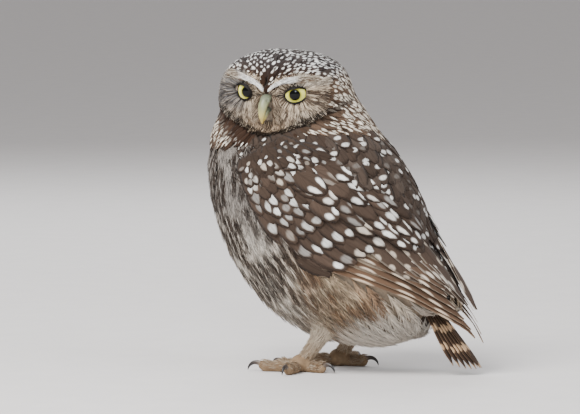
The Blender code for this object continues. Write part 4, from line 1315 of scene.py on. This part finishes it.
# %% [markdown]
# ## Breast, belly and flanks
#
# The same dark dashes run over all of it. High on the breast they stand on grey-brown and
# lower down on white, with brown patches on the flanks. Behind the legs and under the tail
# the feathers are long, pale and woolly, and hardly streaked.

# %% Breast and belly
def body_colours(points):
    """Streak colour, pale colour, streak share and lightness at each place."""
    _, y, z = points.T
    q = y * math.cos(LEAN) - z * math.sin(LEAN)
    front = smoothstep(2, -38, y)
    high = smoothstep(80, 114, z)
    low = smoothstep(60, 38, z)
    brown = patches(points * [1, 1, 0.6], 17, 4)
    outer = blend(paint(174, 155, 130), paint(212, 203, 190), front)
    brown_share = (1 - high) * (1 - 0.75 * front) * smoothstep(0.2, 0.55, brown) * (0.95 - 0.35 * low)
    outer = blend(outer, paint(136, 106, 80), brown_share)
    outer = blend(outer, paint(208, 201, 190), smoothstep(-36, -22, q) * low * 0.8)
    outer = blend(outer, paint(106, 99, 95), high * 0.8)
    streak = blend(paint(40, 29, 22), paint(70, 52, 39), (1 - front) * (1 - high))
    share = (0.85 + 0.15 * smoothstep(0.2, 0.5, brown)) * (1 - 0.3 * low)
    share = share * (0.8 + 0.2 * np.clip(front + high, 0, 1))
    share = np.where(q > -28, share * 0.25, share)
    return streak, outer, share, np.exp(rng.normal(0, 0.07, len(points)))


def place_body(name, keep, count, seed, length, half, barbs, low, high, thickness):
    """Scatters loose feathers over a part of the body map and colours them by their place."""
    roots = scatter(keep, count, seed)
    roots = roots + rng.normal(0, 0.6, roots.shape)
    looks = body_colours(roots)
    lengths = length * rng.uniform(0.85, 1.15, count)
    halves = half * rng.uniform(0.85, 1.15, count)
    return loose_feathers(name, roots, looks, lengths, halves, barbs, low, high, thickness)


BODY_ZONE = ~ON_HEAD & ~ON_WING & (GRID_T < 0.35)
BREAST = BODY_ZONE & (GRID_Z > 96)
MIDDLE = BODY_ZONE & (GRID_Z <= 100) & (GRID_Z > 52)
BELLY = (GRID_Z <= 58) & ~ON_WING & ((GRID_T < 0.35) | (GRID_Y > 0))
place_body("breast_feathers", BREAST, 430, 1, 17.0, 3.4, 17, -1.4, 0.9, 0.50)
place_body("belly_feathers_front", MIDDLE, 420, 2, 22.0, 3.7, 19, -1.5, 1.3, 0.52)
place_body("belly_feathers_low", BELLY, 520, 3, 18.0, 3.4, 16, -1.5, 2.2, 0.42)

# %% [markdown]
# ## Crown, nape and collar
#
# These are short, broad feathers that lie like shingles. Each is dark with one pale spot
# near its tip. Only the last third of a feather shows, so the rows of spots come out
# closer together than the feathers are long.

# %% Crown and nape
HEAD_STEPS = 5


def head_feathers(name, keep, count, seed, length, half):
    """Shingled feathers over a part of the head, with colours and marks by their place."""
    roots = scatter(keep, count, seed)
    path, normals = walk(roots, head_lie, length * rng.uniform(0.85, 1.15, count), HEAD_STEPS)
    path = lay(path, normals, -1.3, rng.normal(0.5, 0.12, count))
    looks = crown_looks(path[:, -2])
    wide = widths(OVAL, half * rng.uniform(0.85, 1.15, count), HEAD_STEPS)
    roll = rng.normal(0, 0.12, count)
    return vane_piece(name, path, normals, wide, CONTOUR, roots, looks, 0.3, 0.25, roll=roll)


def crown_looks(points):
    """Grey-brown crown with white spots, browner forehead, mottled cream sides, spotted nape, and painted
    shade below the face on the far side.
    """
    count = len(points)
    f, side, up = to_head(points).T
    forehead = smoothstep(8, 20, f) * smoothstep(27, 17, up)
    flank = smoothstep(20, 32, np.abs(side)) * smoothstep(22, 10, up)
    nape = smoothstep(-2, -22, f)
    ground = blend(paint(52, 46, 44), paint(50, 35, 26), forehead)
    ground = blend(ground, paint(80, 64, 52), flank)
    ground = blend(ground, paint(62, 52, 45), nape * 0.7)
    mark = blend(paint(222, 221, 218), paint(236, 226, 208), np.clip(flank + forehead * 0.5, 0, 1))
    above_border = up - face_border(side)
    front = smoothstep(-10, 0, f)
    band = smoothstep(1.5, 0.5, above_border) * smoothstep(-3.0, -1.6, above_border) * front
    ground = blend(ground, paint(40, 30, 24), band)
    under_face = smoothstep(1, -1, above_border) * front
    # painted shade: below the face on the far side the ground is darkened and the spots are dimmed
    far = smoothstep(-12, -22, side) * smoothstep(-17, -12, above_border) * under_face
    chin = smoothstep(16, 6, np.abs(side)) * smoothstep(-5, -2, above_border) * under_face
    ground = blend(ground, paint(50, 36, 28), np.clip(far + chin, 0, 1))
    strength = rng.uniform(0.6, 1.0, count) * (1 - 0.85 * np.clip(band + far + 0.6 * chin, 0, 1))
    strength = strength * (rng.random(count) > 0.1)
    strength = strength * (1 - 0.8 * nape * (rng.random(count) > 0.55))
    shape = np.stack([rng.normal(0.5, 0.06, count), rng.normal(0.77, 0.03, count),
                      0.26 - 0.01 * flank + 0.01 * nape - 0.07 * forehead,
                      0.13 + 0.06 * flank + 0.05 * nape], -1)
    shape[:, 2:] *= rng.uniform(0.65, 1.3, (count, 2))
    return tint(ground, count, 0.2), with_strength(mark * uneven(count, 0.16, -0.05), strength), shape


CROWN = ON_HEAD & ~IN_FACE
head_feathers("crown_feathers", CROWN & (GRID_UP > 0), 1250, 5, 10.5, 2.5)
head_feathers("collar_feathers", CROWN & (GRID_UP < 3), 950, 6, 12.0, 2.4)

# %% [markdown]
# ## The face
#
# The disc is made of fine hair-like feathers that spread from the eyes, cream with dark
# roots and brown streaks. The white brows form a V over the bill, and cream and brown
# bristles hide the bill's root. All are single barbs, because at this size nothing coarser
# looks soft.

# %% Face
def fine_barbs(name, roots, lie, lengths, low, high, width, colour):
    """Single barbs laid from their roots along a direction field."""
    path, normals = walk(roots, lie, lengths, BARB_STEPS)
    path = lay(path, normals, low, high * rng.uniform(0.6, 1.3, len(roots)))
    colours = seeded(from_base_to_tip(*colour(path[:, -1])))
    return barb_piece(name, path, normals, width * rng.uniform(0.75, 1.3, len(roots)), roots, colours)


def face_colours(tips):
    """Cream disc with brown streaks beside the eyes, painted grey shade on the far side, dark before the
    bill.
    """
    _, side, up = to_head(tips).T
    count = len(tips)
    wide = np.abs(side)
    turn = np.arctan2(up - EYE_U, wide - EYE_L)
    away = np.hypot(up - EYE_U, wide - EYE_L)
    streaks = 0.5 + 0.5 * np.sin(turn * 17 + 1.3 * np.sin(away * 0.7 + turn * 3) + np.sign(side))
    streaks = (0.18 + streaks**1.4 * 0.76 > rng.random(count)) * rng.uniform(0.6, 1.0, count)
    colour = blend(paint(222, 202, 176), paint(64, 45, 31), streaks)
    behind_eye = smoothstep(19, 25, wide) * smoothstep(7, 2, np.abs(up - 5.5))
    colour = blend(colour, paint(84, 68, 56), behind_eye * (rng.random(count) > 0.35) * 0.85)
    cheek = smoothstep(15, 21, wide) * smoothstep(-1, -5, up)
    colour = blend(colour, paint(222, 212, 198), cheek * rng.uniform(0.0, 0.6, count) * (1 - streaks))
    over_eye = smoothstep(11.5, 14, up) * smoothstep(12, 17, wide)
    colour = blend(colour, paint(232, 220, 202), over_eye * 0.8 * (1 - 0.7 * streaks))
    # painted shade: on the far side of the face the cream and brown barbs are greyed and darkened, as if out
    # of the light
    far_side_shade = smoothstep(-11, -19, side) * smoothstep(-9, -1, up) * rng.uniform(0.55, 0.95, count)
    colour = blend(colour, blend(paint(116, 115, 116), paint(44, 43, 45), streaks), far_side_shade)
    lore = np.exp(-((wide - 4.8) / 2.2) ** 2 - ((up - 5.5) / 3.6) ** 2)
    colour = blend(colour, paint(58, 50, 46), lore * 0.85)
    chin = smoothstep(-8, -11, up) * smoothstep(16, 6, wide)
    colour = blend(colour, paint(186, 160, 132), chin * 0.7)
    colour = blend(colour, paint(52, 37, 26), chin * (rng.random(count) > 0.6) * 0.85)
    border = smoothstep(1.5, 0.7, up - face_border(side))
    border = border * (rng.random(count) > 0.22 * smoothstep(4, 16, wide))
    colour = blend(colour, paint(26, 17, 11), border * rng.uniform(0.8, 1.0, count))
    light = uneven(count, 0.22)
    return colour * 0.5 * light, colour * light


def outside_lids(points, margin):
    """The points that lie outside the opening of both eyes."""
    keep = np.ones(len(points), bool)
    for _, sign in SIDES:
        centre, axis, side, up = eye_frame(sign)
        local = to_head(points) - centre
        a = local @ side / (LID_HALF_WIDTH + margin)
        b = local @ up - 0.2 * (local @ side)
        b = b / np.where(b > 0, LID_ABOVE + margin, LID_BELOW + margin)
        keep &= (a**2 + b**2 > 1) | (local @ axis < 0)
    return points[keep]


def outside_bill(points):
    """The points that lie beside the bill, not under it."""
    f, side, up = to_head(points).T
    return points[(np.abs(side) > 3.4) | (up > 8.0) | (up < -9.0) | (f < 10)]


face_roots = outside_bill(outside_lids(scatter(IN_FACE, 8600, 8), 0.2))
_, root_side, root_up = to_head(face_roots).T
shorter = 0.35 + 0.65 * smoothstep(0, 7, root_up - face_border(root_side))
face_lengths = rng.uniform(4.5, 7.5, len(face_roots)) * shorter
fine_barbs("face_feathers", face_roots, face_lie, face_lengths, -1.0, 1.0, 0.38, face_colours)


def lid_feathers(name, sign, count):
    """Tiny barbs on the lids' skin, which stream away from the opening and onto the face."""
    wide, high = lid_opening(rng.uniform(0, 2 * math.pi, count), LID_INNER[sign])
    turn = np.arctan2(high, wide)
    edge = np.arcsin(np.hypot(wide, high) / EYE_RADIUS) + 0.13
    start = edge + rng.random(count) * (math.radians(78) - edge)
    polar = start[:, None] + BARB_SHARE * rng.uniform(0.25, 0.42, (count, 1))
    reach = EYE_RADIUS + 0.25 + BARB_SHARE * rng.uniform(0.5, 1.1, (count, 1))
    path = on_ball(eye_frame(sign), polar, turn[:, None], reach)
    shade = (0.55 + 0.45 * smoothstep(0.0, 0.25, start - edge))[:, None, None]
    colours = seeded(from_base_to_tip(*face_colours(path[:, -1])) * shade)
    width = 0.26 * rng.uniform(0.7, 1.3, count)
    return barb_piece(name, path, unit(path - EYES[sign]), width, path[:, 0], colours)


for side, sign in SIDES:
    lid_feathers(f"lid_feathers_{side}", sign, 1500)

# %% [markdown]
# The brows and the bristles start from places given in the head's frame, which are dropped
# onto the body's map before the barbs are laid.

# %% Brows and bristles
def brow_lie(point, normal):
    """Along the brow, outwards and up."""
    side = to_head(point)[..., 1]
    slope = np.cosh(np.clip(side / 10.0, -4, 4)) ** -2 * 0.85 - 0.02
    ahead = np.sign(side)[..., None] * HEAD_AXES[1] + slope[..., None] * HEAD_AXES[2]
    return ahead - 0.25 * HEAD_AXES[0]


def brow_colours(tips):
    """White near the bill, turning cream and then buff towards the side of the head."""
    side = np.abs(to_head(tips)[..., 1])
    colour = blend(paint(246, 244, 240), paint(222, 210, 190), smoothstep(16, 24, side))
    brown = 0.12 + smoothstep(14, 24, side) * 0.6 > rng.random(len(tips))
    colour = blend(colour, paint(96, 72, 54), brown * rng.uniform(0.6, 1.0, len(tips)))
    light = uneven(len(tips), 0.14)
    return colour * 0.7 * light, colour * light


def bristle_lie(point, normal):
    """From beside the bill's root forwards and down over its sides."""
    side = np.sign(to_head(point)[..., 1])[..., None]
    return side * HEAD_AXES[1] * 0.55 - HEAD_AXES[2] * 0.8 + HEAD_AXES[0] * 0.2


def bristle_colours(tips):
    """Cream or brown with a grey-brown root."""
    light = uneven(len(tips), 0.2)
    tip = blend(paint(200, 182, 158), paint(74, 56, 42), (rng.random(len(tips)) > 0.6).astype(float))
    return paint(96, 78, 62) * light, tip * light


BROWS, BRISTLES = 1900, 620
side = rng.choice([-1, 1], BROWS) * (1.2 + 23.0 * rng.random(BROWS) ** 1.25)
up = brow_height(side) - 1.2 + rng.normal(0, 0.42, BROWS) * (1 + 0.08 * np.maximum(np.abs(side) - 8, 0))
brow_roots, _ = body_at(from_head(np.stack([24.0 - 0.011 * side**2, side, up], -1)))
lengths = rng.uniform(4.0, 6.5, BROWS)
fine_barbs("brow_feathers", brow_roots, brow_lie, lengths, 0.0, 1.9, 0.28, brow_colours)

side = rng.choice([-1, 1], BRISTLES) * rng.uniform(3.0, 6.5, BRISTLES)
up = rng.uniform(-6.0, 6.5, BRISTLES)
bristle_roots, _ = body_at(from_head(np.stack([np.full(BRISTLES, 26.0), side, up], -1)))
lengths = rng.uniform(4.0, 7.0, BRISTLES)
fine_barbs("bill_bristles", bristle_roots, bristle_lie, lengths, -0.5, 1.9, 0.2, bristle_colours)

# %% [markdown]
# ## Wings
#
# A folded wing is a stack of tiers. The long flight feathers lie lowest, and over their
# roots come the greater, median and lesser coverts, and the shoulder feathers from above.
# Each tier is a set of rows on the wing's own sheet, whose s runs towards the tip and t up
# to the back. A feather's tip lies higher than its root, so each row covers the next.

# %% Wing coverts and shoulder feathers
WING_LENGTH = WING_TIP_Q[1] - WING_Q0


def wing_vanes(name, sign, roots, tips, half, low, high, look, looks, steps=8, columns=5, roll=0.0):
    """Vanes between root and tip places (s, t) on a wing's sheet, rising from low to high."""
    s, t = np.moveaxis(roots[:, None] + (tips - roots)[:, None] * np.linspace(0, 1, steps)[:, None], -1, 0)
    height = rise(low, high, steps)
    path = wing_point(s, t, height, sign)
    normals = unit(wing_point(s, t, height + 1.0, sign) - path)
    return vane_piece(name, path, normals, widths(BROAD, half, steps), look, path[:, 0], looks, 0.14, 0.22,
                      columns=columns, roll=roll)


def covert_rows(tip_rows, t_low, t_high, spacing):
    """Tip places of feathers in rows across the wing, each row shifted by half a step."""
    places = []
    t = np.linspace(0, 1, 60)
    for k, s in enumerate(tip_rows):
        line = wing_point(np.full(60, s), t, 0.0, 1)
        length = np.concatenate([[0], np.cumsum(np.linalg.norm(np.diff(line, axis=0), axis=1))])
        start, end = np.interp([t_low[k], t_high[k]], t, length)
        run = np.arange(start + spacing * 0.5 * (k % 2), end, spacing)
        places.append(np.stack([np.full(len(run), s), np.interp(run, length, t)], -1))
    places = np.concatenate(places)
    return places + rng.normal(0, 1, places.shape) * [0.004, 0.008]


def wing_tier(name, sign, tip_rows, t_low, t_high, spacing, length, half, low, high, look, colours):
    """One tier of spotted feathers, with colours from the tier's colour function."""
    tips = covert_rows(tip_rows, t_low, t_high, spacing)
    count = len(tips)
    reach = length * rng.uniform(0.92, 1.08, count) / WING_LENGTH
    roots = np.stack([np.maximum(tips[:, 0] - reach, -0.03), tips[:, 1] + rng.normal(0, 0.01, count)], -1)
    looks = colours(count)
    heights = high + rng.normal(0, 0.15, count) - 0.5 * smoothstep(0.5, 0.0, tips[:, 1])
    halves = half * rng.uniform(0.9, 1.1, count)
    roll = sign * 0.07 + rng.normal(0, 0.03, count)
    return wing_vanes(name, sign, roots, tips, halves, low, heights, look, looks, roll=roll)


def spotted(ground, mark, strengths, x, y, wide, tall, vary=0.12):
    """A colour function for a tier: one ground, and one mark with a share of faint or tinted ones."""
    def colours(count):
        strength = rng.choice(strengths, count)
        tone = blend(mark, BUFF, (rng.random(count) > 0.7) * rng.uniform(0.2, 0.7, count))
        spots = with_strength(tone * uneven(count, 0.1, -0.06), strength)
        shape = np.stack([rng.normal(x, 0.04, count), rng.normal(y, 0.03, count),
                          wide * rng.uniform(0.75, 1.15, count), tall * rng.uniform(0.8, 1.4, count)], -1)
        return tint(ground, count, vary), spots, shape
    return colours


TIERS = {  # tip rows, their ends in t, spacing, length, half width, root and tip height, finish, colours
    "primary_coverts": (
        [0.36, 0.45, 0.53], [0, 0, 0], [0.10, 0.12, 0.12], 4.4, 30, 4.6, -3.2, -1.3, COVERT,
        spotted(UMBER * 0.9, BUFF, [0.2, 0.4, 0.6], 0.98, 0.9, 0.10, 0.05)),
    "greater_coverts": (
        [0.45, 0.54], [0.08, 0.10], [0.55, 0.6], 7.0, 30, 5.4, -3.3, -0.7, COVERT,
        spotted(UMBER, WHITE, [1, 1, 0.8, 0.2], 0.5, 0.86, 0.34, 0.10)),
    "median_coverts": (
        [0.30, 0.36], [0.03, 0.05], [0.5, 0.5], 6.8, 22, 5.2, -2.4, 0.0, COVERT,
        spotted(UMBER * 1.05, WHITE * 0.88, [1, 0.7, 0.5, 0.3], 0.5, 0.80, 0.27, 0.14)),
    "lesser_coverts": (
        [0.12, 0.165, 0.21, 0.255], [0.02] * 4, [0.7] * 4, 6.2, 18, 4.6, -2.3, 0.3, COVERT,
        spotted(UMBER, WHITE * 0.92, [1, 0.95, 0.7, 0.25, 0, 0], 0.5, 0.78, 0.25, 0.16)),
    "small_coverts": (
        [0.02, 0.045, 0.07, 0.095, 0.12, 0.145, 0.17, 0.195, 0.22], [0.02] * 4 + [0.6] * 5, [1.0] * 9,
        5.2, 15, 4.4, -1.9, 0.4, COVERT,
        spotted(UMBER * 0.72, WHITE * 0.85, [0.95, 0.8, 0.3, 0, 0], 0.5, 0.80, 0.22, 0.11, 0.08)),
    "shoulder_feathers": (
        [0.26, 0.315, 0.37, 0.425, 0.48, 0.535, 0.59], [0.56, 0.5, 0.47, 0.5, 0.56, 0.62, 0.7], [1.0] * 7,
        9.5, 25, 6.8, -1.8, 1.2, SHOULDER,
        spotted(UMBER, WHITE, [1, 1, 0.8, 0.25, 0.0], 0.75, 0.79, 0.16, 0.12, 0.16)),
}
for side, sign in SIDES:
    for tier, sizes in TIERS.items():
        wing_tier(f"{tier}_{side}", sign, *sizes)

# %% [markdown]
# ## Flight feathers
#
# The primaries and secondaries overlap like a fan of cards: each is tilted so that its
# upper edge goes under the next. How far they tilt follows from how close they lie. Pale
# spots along both edges line up into bars across the closed wing.

# %% Primaries, secondaries and tail
FLIGHT_ROWS = np.array([
    [0.40, 0.05, 0.99, 0.32, 3.6, -3.4, -2.2],
    [0.40, 0.24, 0.90, 0.46, 3.6, -3.4, -2.0],
    [0.40, 0.48, 0.79, 0.60, 4.0, -3.4, -1.9],
    [0.40, 0.72, 0.79, 0.80, 5.2, -3.4, -1.8],
    [0.40, 0.90, 0.87, 0.90, 5.2, -3.4, -1.8],
])  # root s, t, tip s, t, least half width, root and tip height
FLIGHT_COUNT, FLIGHT_STEP = 10, 0.92
TAIL_COUNT = 12
LONG_SHARE = np.linspace(0, 1, 16)


def flight_feathers(name, sign):
    """Long vanes side by side, each over the near edge of the one before it."""
    order = np.linspace(0, 1, FLIGHT_COUNT)
    root_s, root_t, tip_s, tip_t, least, low, high = smooth_rows(FLIGHT_ROWS, order).T[:, :, None]
    s = root_s + (tip_s - root_s) * LONG_SHARE
    t = root_t + (tip_t - root_t) * LONG_SHARE
    height = low + (high - low) * LONG_SHARE**2
    path = wing_point(s, t, height, sign)
    outward = unit(wing_point(s, t, height + 1.0, sign) - path)
    upward = unit(wing_point(s, t + 0.01, height, sign) - path)
    spacing = np.maximum((np.gradient(path, axis=0) * upward).sum(-1), 0.1)
    slope = np.minimum(FLIGHT_STEP / spacing, 0.4)
    lift = np.cumsum(np.maximum(FLIGHT_STEP - slope * spacing, 0), axis=0)
    path = path + outward * (lift - lift.mean(0) * 0.5)[..., None]
    profile = smooth_rows(np.array([0.7, 1, 1, 1, 1.05, 1.0, 0.35]), LONG_SHARE)
    half = np.maximum(spacing * 0.72, least) * profile
    ground = tint(blend(paint(96, 74, 58), UMBER * 1.2, order), FLIGHT_COUNT, 0.1)
    strength = np.where(np.arange(FLIGHT_COUNT) < 7, 0.95, 0.6)
    mark = with_strength(blend(paint(212, 188, 162), paint(222, 214, 202), order), strength)
    shape = np.stack([rng.normal(0.97, 0.02, FLIGHT_COUNT), rng.normal(0.5, 0.06, FLIGHT_COUNT),
                      np.full(FLIGHT_COUNT, 0.19), np.full(FLIGHT_COUNT, 0.24)], -1)
    return vane_piece(name, path, outward, half, FLIGHT, path[:, 0], (ground, mark, shape), 0.12, 0.12,
                      columns=7, roll=sign * np.arctan(slope.mean(1)))


def tail_feathers(name):
    """Twelve barred feathers: the middle pair on top, each next pair lower and a little shorter."""
    rank = (np.arange(TAIL_COUNT) - (TAIL_COUNT - 1) / 2)[:, None]
    order = np.abs(rank)
    x = rank * (1.2 + 1.3 * LONG_SHARE)
    q = -12.0 + (41.0 - 0.28 * order**2 + 12.0) * LONG_SHARE
    d = 70.0 + 0.13 * (q + 16.0) + 1.0 + 1.6 * LONG_SHARE
    d = d - 1.5 * order * (0.3 + 0.7 * LONG_SHARE) - 0.008 * x**2
    path = from_body(x, q, d)
    normals = unit(from_body(x, q, d + 1.0) - path)
    profile = smooth_rows(np.array([0.6, 0.85, 1, 1.05, 1.05, 0.9, 0.15]), LONG_SHARE)
    half = (4.0 + 0.6 * LONG_SHARE) * profile * np.ones((TAIL_COUNT, 1))
    shape = np.stack([np.full(TAIL_COUNT, 0.98), rng.normal(0.6, 0.08, TAIL_COUNT),
                      rng.normal(0.38, 0.05, TAIL_COUNT), rng.normal(0.18, 0.02, TAIL_COUNT)], -1)
    ground = tint(paint(70, 53, 42), TAIL_COUNT, 0.1)
    mark = with_strength(paint(198, 166, 132), np.full(TAIL_COUNT, 0.9))
    return vane_piece(name, path, normals, half, TAIL_BARS, path[:, 0], (ground, mark, shape), 0.1, 0.15,
                      columns=7, roll=-np.sign(rank[:, 0]) * 0.06)


def tertials(name, sign):
    """The broad innermost feathers, which cover the roots of the rest."""
    roots = np.array([[0.46, 0.50], [0.46, 0.62], [0.46, 0.74], [0.46, 0.86]])
    tips = np.array([[0.72, 0.50], [0.77, 0.62], [0.82, 0.74], [0.86, 0.85]])
    mark = with_strength(paint(206, 192, 174), np.full(4, 0.75))
    looks = (tint(UMBER * 1.1, 4, 0.05), mark, np.tile([0.97, 0.5, 0.18, 0.22], (4, 1)))
    high = np.array([-0.6, -0.3, 0.0, 0.3])
    half = np.full(4, 6.6)
    return wing_vanes(name, sign, roots, tips, half, -2.2, high, FLIGHT, looks, steps=14, columns=7,
                      roll=sign * 0.08)


for side, sign in SIDES:
    flight_feathers(f"flight_feathers_{side}", sign)
    tertials(f"tertials_{side}", sign)
tail_feathers("tail_feathers")

# %% [markdown]
# ## Mantle and rump
#
# Between the wings and below the nape the back is plainer: greyish brown feathers with a
# few pale marks, which run on under the shoulder feathers and along the upper edge of the
# wing up to the chin. More of them cover the rump down to the root of the tail. They lie
# lower, so that the folded wings close over them.

# %% Mantle and rump
def back_looks(count):
    """Plain brown with a pale mark on some feathers."""
    strength = rng.choice([0.0, 0.0, 0.1, 0.8, 0.95], count)
    mark = with_strength(WHITE * 0.85, strength)
    shape = np.tile([0.5, 0.84, 0.28, 0.09], (count, 1)) * rng.uniform(0.92, 1.08, (count, 4))
    return tint(blend(UMBER * 0.78, GREY_BROWN, rng.uniform(0, 0.25, count)), count, 0.08), mark, shape


def back_feathers(name, density, count, seed, lengths, low, high, spread, arch, roll):
    """Broad feathers down the back, shorter, narrower and lower beside the chin."""
    roots = scatter(density, count, seed)
    near_chin = read_grid(BESIDE_CHIN, *capsule_place(roots))
    path, normals = walk(roots, body_lie, rng.uniform(*lengths, count) - 6.0 * near_chin, SHAFT_STEPS)
    path = lay(path, normals, low, rng.normal(high, spread, count) - 0.5 * near_chin)
    wide = widths(BROAD, rng.uniform(4.6, 5.8, count) - 2.0 * near_chin, SHAFT_STEPS)
    looks = back_looks(count)
    turned = rng.normal(0, roll, count) if roll else 0.0
    return vane_piece(name, path, normals, wide, COVERT, roots, looks, arch, 0.3, roll=turned)


BELOW_COLLAR = GRID_Z < HEAD_LINE + 5
MANTLE = BELOW_COLLAR & (GRID_T > 0.85) & (GRID_Y > -45) & (GRID_S < 0.52)
BESIDE_CHIN = BELOW_COLLAR & (GRID_Z > 100) & (GRID_S > -0.12) & (GRID_S < 0.05) & (GRID_T > -0.1) & ~MANTLE
RUMP = (GRID_T > 0.80) & (GRID_S >= 0.46) & (GRID_S < 1.2) & (GRID_Z > 12)
CHIN_DENSITY = 1.8  # beside the chin they stand closer than on the back
back_density = MANTLE + CHIN_DENSITY * BESIDE_CHIN
back_feathers("mantle_feathers", back_density, 430, 11, (17, 21), -1.4, 0.8, 0.15, 0.12, 0.06)
back_feathers("rump_feathers", RUMP, 190, 12, (15, 19), -3.2, -1.6, 0.3, 0.2, 0.0)

# %% [markdown]
# ## Legs and feet
#
# The legs wear short white and buff feathers down to the toes, which have only bristles.
# They are laid in the leg's own coordinates: t down the leg and an angle round it.

# %% Leg feathers and toe bristles
def leg_feathers(name, sign, count):
    """Barbs down a leg: place = middle(t) + outward(angle) * (radius(t) + height)."""
    t0 = rng.uniform(0.12, 0.93, count)
    turn = rng.uniform(0, 2 * math.pi, count)[:, None, None]
    t = t0[:, None] + BARB_SHARE * rng.uniform(0.10, 0.16, (count, 1)) * (1.25 - t0[:, None])
    t = np.clip(t, 0, 1)
    middle, size = leg_path(sign, t)
    side, top = across(leg_path(sign, np.linspace(0, 1, 40))[0], (0, 1, 0.3))
    k = np.minimum((t * 39).astype(int), 39)
    outward = side[k] * np.cos(turn) + top[k] * np.sin(turn)
    height = -0.4 + 1.5 * BARB_SHARE * rng.uniform(0.4, 1.2, (count, 1))
    path = middle + outward * (size + height)[..., None]
    path[..., 2] = np.maximum(path[..., 2], 0.6)
    low = smoothstep(0.5, 0.85, t0)
    tone = blend(paint(204, 190, 170), paint(166, 140, 112), low * rng.uniform(0.3, 1, count))
    tone = tone * uneven(count, 0.12)
    colours = seeded(tone[:, None] * (0.75 + 0.3 * BARB_SHARE[:, None]))
    return barb_piece(name, path, outward, 0.34 * rng.uniform(0.7, 1.2, count), path[:, 0], colours)


def toe_bristles(name, sign, count):
    """Fine bristles over the tops of the four toes, lying towards their claws."""
    paths, outward = [], []
    for toe, (degrees, _, length) in TOES.items():
        t0 = rng.uniform(-0.1, 0.85, count)
        turn = rng.uniform(-0.3, math.pi + 0.3, count)[:, None]
        t = t0[:, None] + BARB_SHARE * (2.6 / length) * rng.uniform(0.7, 1.4, (count, 1))
        level = np.cross(Z, toe_heading(sign, degrees))
        middle = toe_path(sign, toe, t.ravel()).reshape(count, BARB_STEPS, 3)
        away = level * np.cos(turn) * TOE_HALF_WIDTH + Z * np.sin(turn) * TOE_HALF_HEIGHT
        raised = 0.92 + 0.22 * BARB_SHARE * rng.uniform(0.5, 1.3, (count, 1))
        raised = raised * toe_sizes(np.clip(t, 0, 1))
        paths.append(middle + away[:, None] * raised[..., None])
        outward.append(np.repeat(unit(away)[:, None], BARB_STEPS, axis=1))
    path = np.concatenate(paths)
    path[..., 2] = np.maximum(path[..., 2], 0.4)
    total = len(path)
    tone = blend(paint(136, 110, 84), paint(196, 182, 162), rng.random(total) ** 2)
    colours = seeded(np.repeat(tone[:, None], BARB_STEPS, axis=1))
    wide = 0.17 * rng.uniform(0.7, 1.3, total)
    return barb_piece(name, path, np.concatenate(outward), wide, path[:, 0], colours)


for side, sign in SIDES:
    leg_feathers(f"leg_feathers_{side}", sign, 2600)
    toe_bristles(f"toe_bristles_{side}", sign, 420)

# %% [markdown]

# %% [markdown]
# ## Floor, light and camera
#
# A pale floor, one large soft lamp above the camera's left, a weak one on the right, one
# from behind that edges the back, a small bluish one beside the camera for the glint in the
# eyes, and a pale world. The camera stands three metres away with a long lens, so the owl
# is hardly foreshortened.

# %% Studio
FLOOR_HALF = 20000.0  # millimetres, so far that no horizon shows
FLOOR_DROP = [0, 0, 0.02]  # keeps the floor off the flats under the toes
floor_look = speckled("floor", 0.9, 40.0, paint(214, 210, 208), paint(222, 218, 216))
floor_points = np.array([[-1, -1, 0], [1, -1, 0], [1, 1, 0], [-1, 1, 0]]) * FLOOR_HALF - FLOOR_DROP
floor = fill_mesh("floor", floor_points, [np.array([[0, 1, 2, 3]])], floor_look, smooth=False)

world = bpy.data.worlds.new("studio")
world.use_nodes = True
world.node_tree.nodes["Background"].inputs["Color"].default_value = (0.90, 0.89, 0.90, 1)
world.node_tree.nodes["Background"].inputs["Strength"].default_value = 0.6
bpy.context.scene.world = world

AIM = (np.array([10.26, -28.2, 98.0]) + ORIGIN) * MM
AZIMUTH, ELEVATION, CAMERA_AWAY = math.radians(110), math.radians(4), 3.0
VIEW = unit(np.array([math.sin(AZIMUTH), -math.cos(AZIMUTH), math.tan(ELEVATION)]))


def face_towards(made, place, target):
    """Places a lamp or camera and turns its -Z axis towards a target."""
    made.location = place
    made.rotation_euler = (Vector(target) - Vector(place)).to_track_quat("-Z", "Y").to_euler()
    bpy.context.scene.collection.objects.link(made)


def soft_lamp(name, azimuth, elevation, away, size, power, colour):
    """A square area lamp at a compass direction and height angle from the owl."""
    a, e = math.radians(azimuth), math.radians(elevation)
    lamp = bpy.data.lights.new(name, "AREA")
    lamp.size = size
    lamp.energy = power
    lamp.color = colour
    place = AIM + away * np.array([math.sin(a) * math.cos(e), -math.cos(a) * math.cos(e), math.sin(e)])
    face_towards(bpy.data.objects.new(name, lamp), place, AIM)


soft_lamp("key", 70, 48, 1.6, 1.0, 44.0, (1.0, 0.99, 0.97))
soft_lamp("fill", 165, 25, 1.8, 1.2, 12.0, (0.95, 0.97, 1.0))
soft_lamp("glint", 106, 21, 2.0, 0.4, 14.0, (0.80, 0.90, 1.0))
soft_lamp("rim", 300, 40, 1.8, 1.0, 20.0, (0.95, 0.98, 1.0))
camera_data = bpy.data.cameras.new("camera")
camera_data.lens = 310
camera_data.sensor_width = 36
camera = bpy.data.objects.new("camera", camera_data)
face_towards(camera, AIM + VIEW * CAMERA_AWAY, AIM)
bpy.context.scene.camera = camera
print("camera at", [round(v, 3) for v in camera.location])
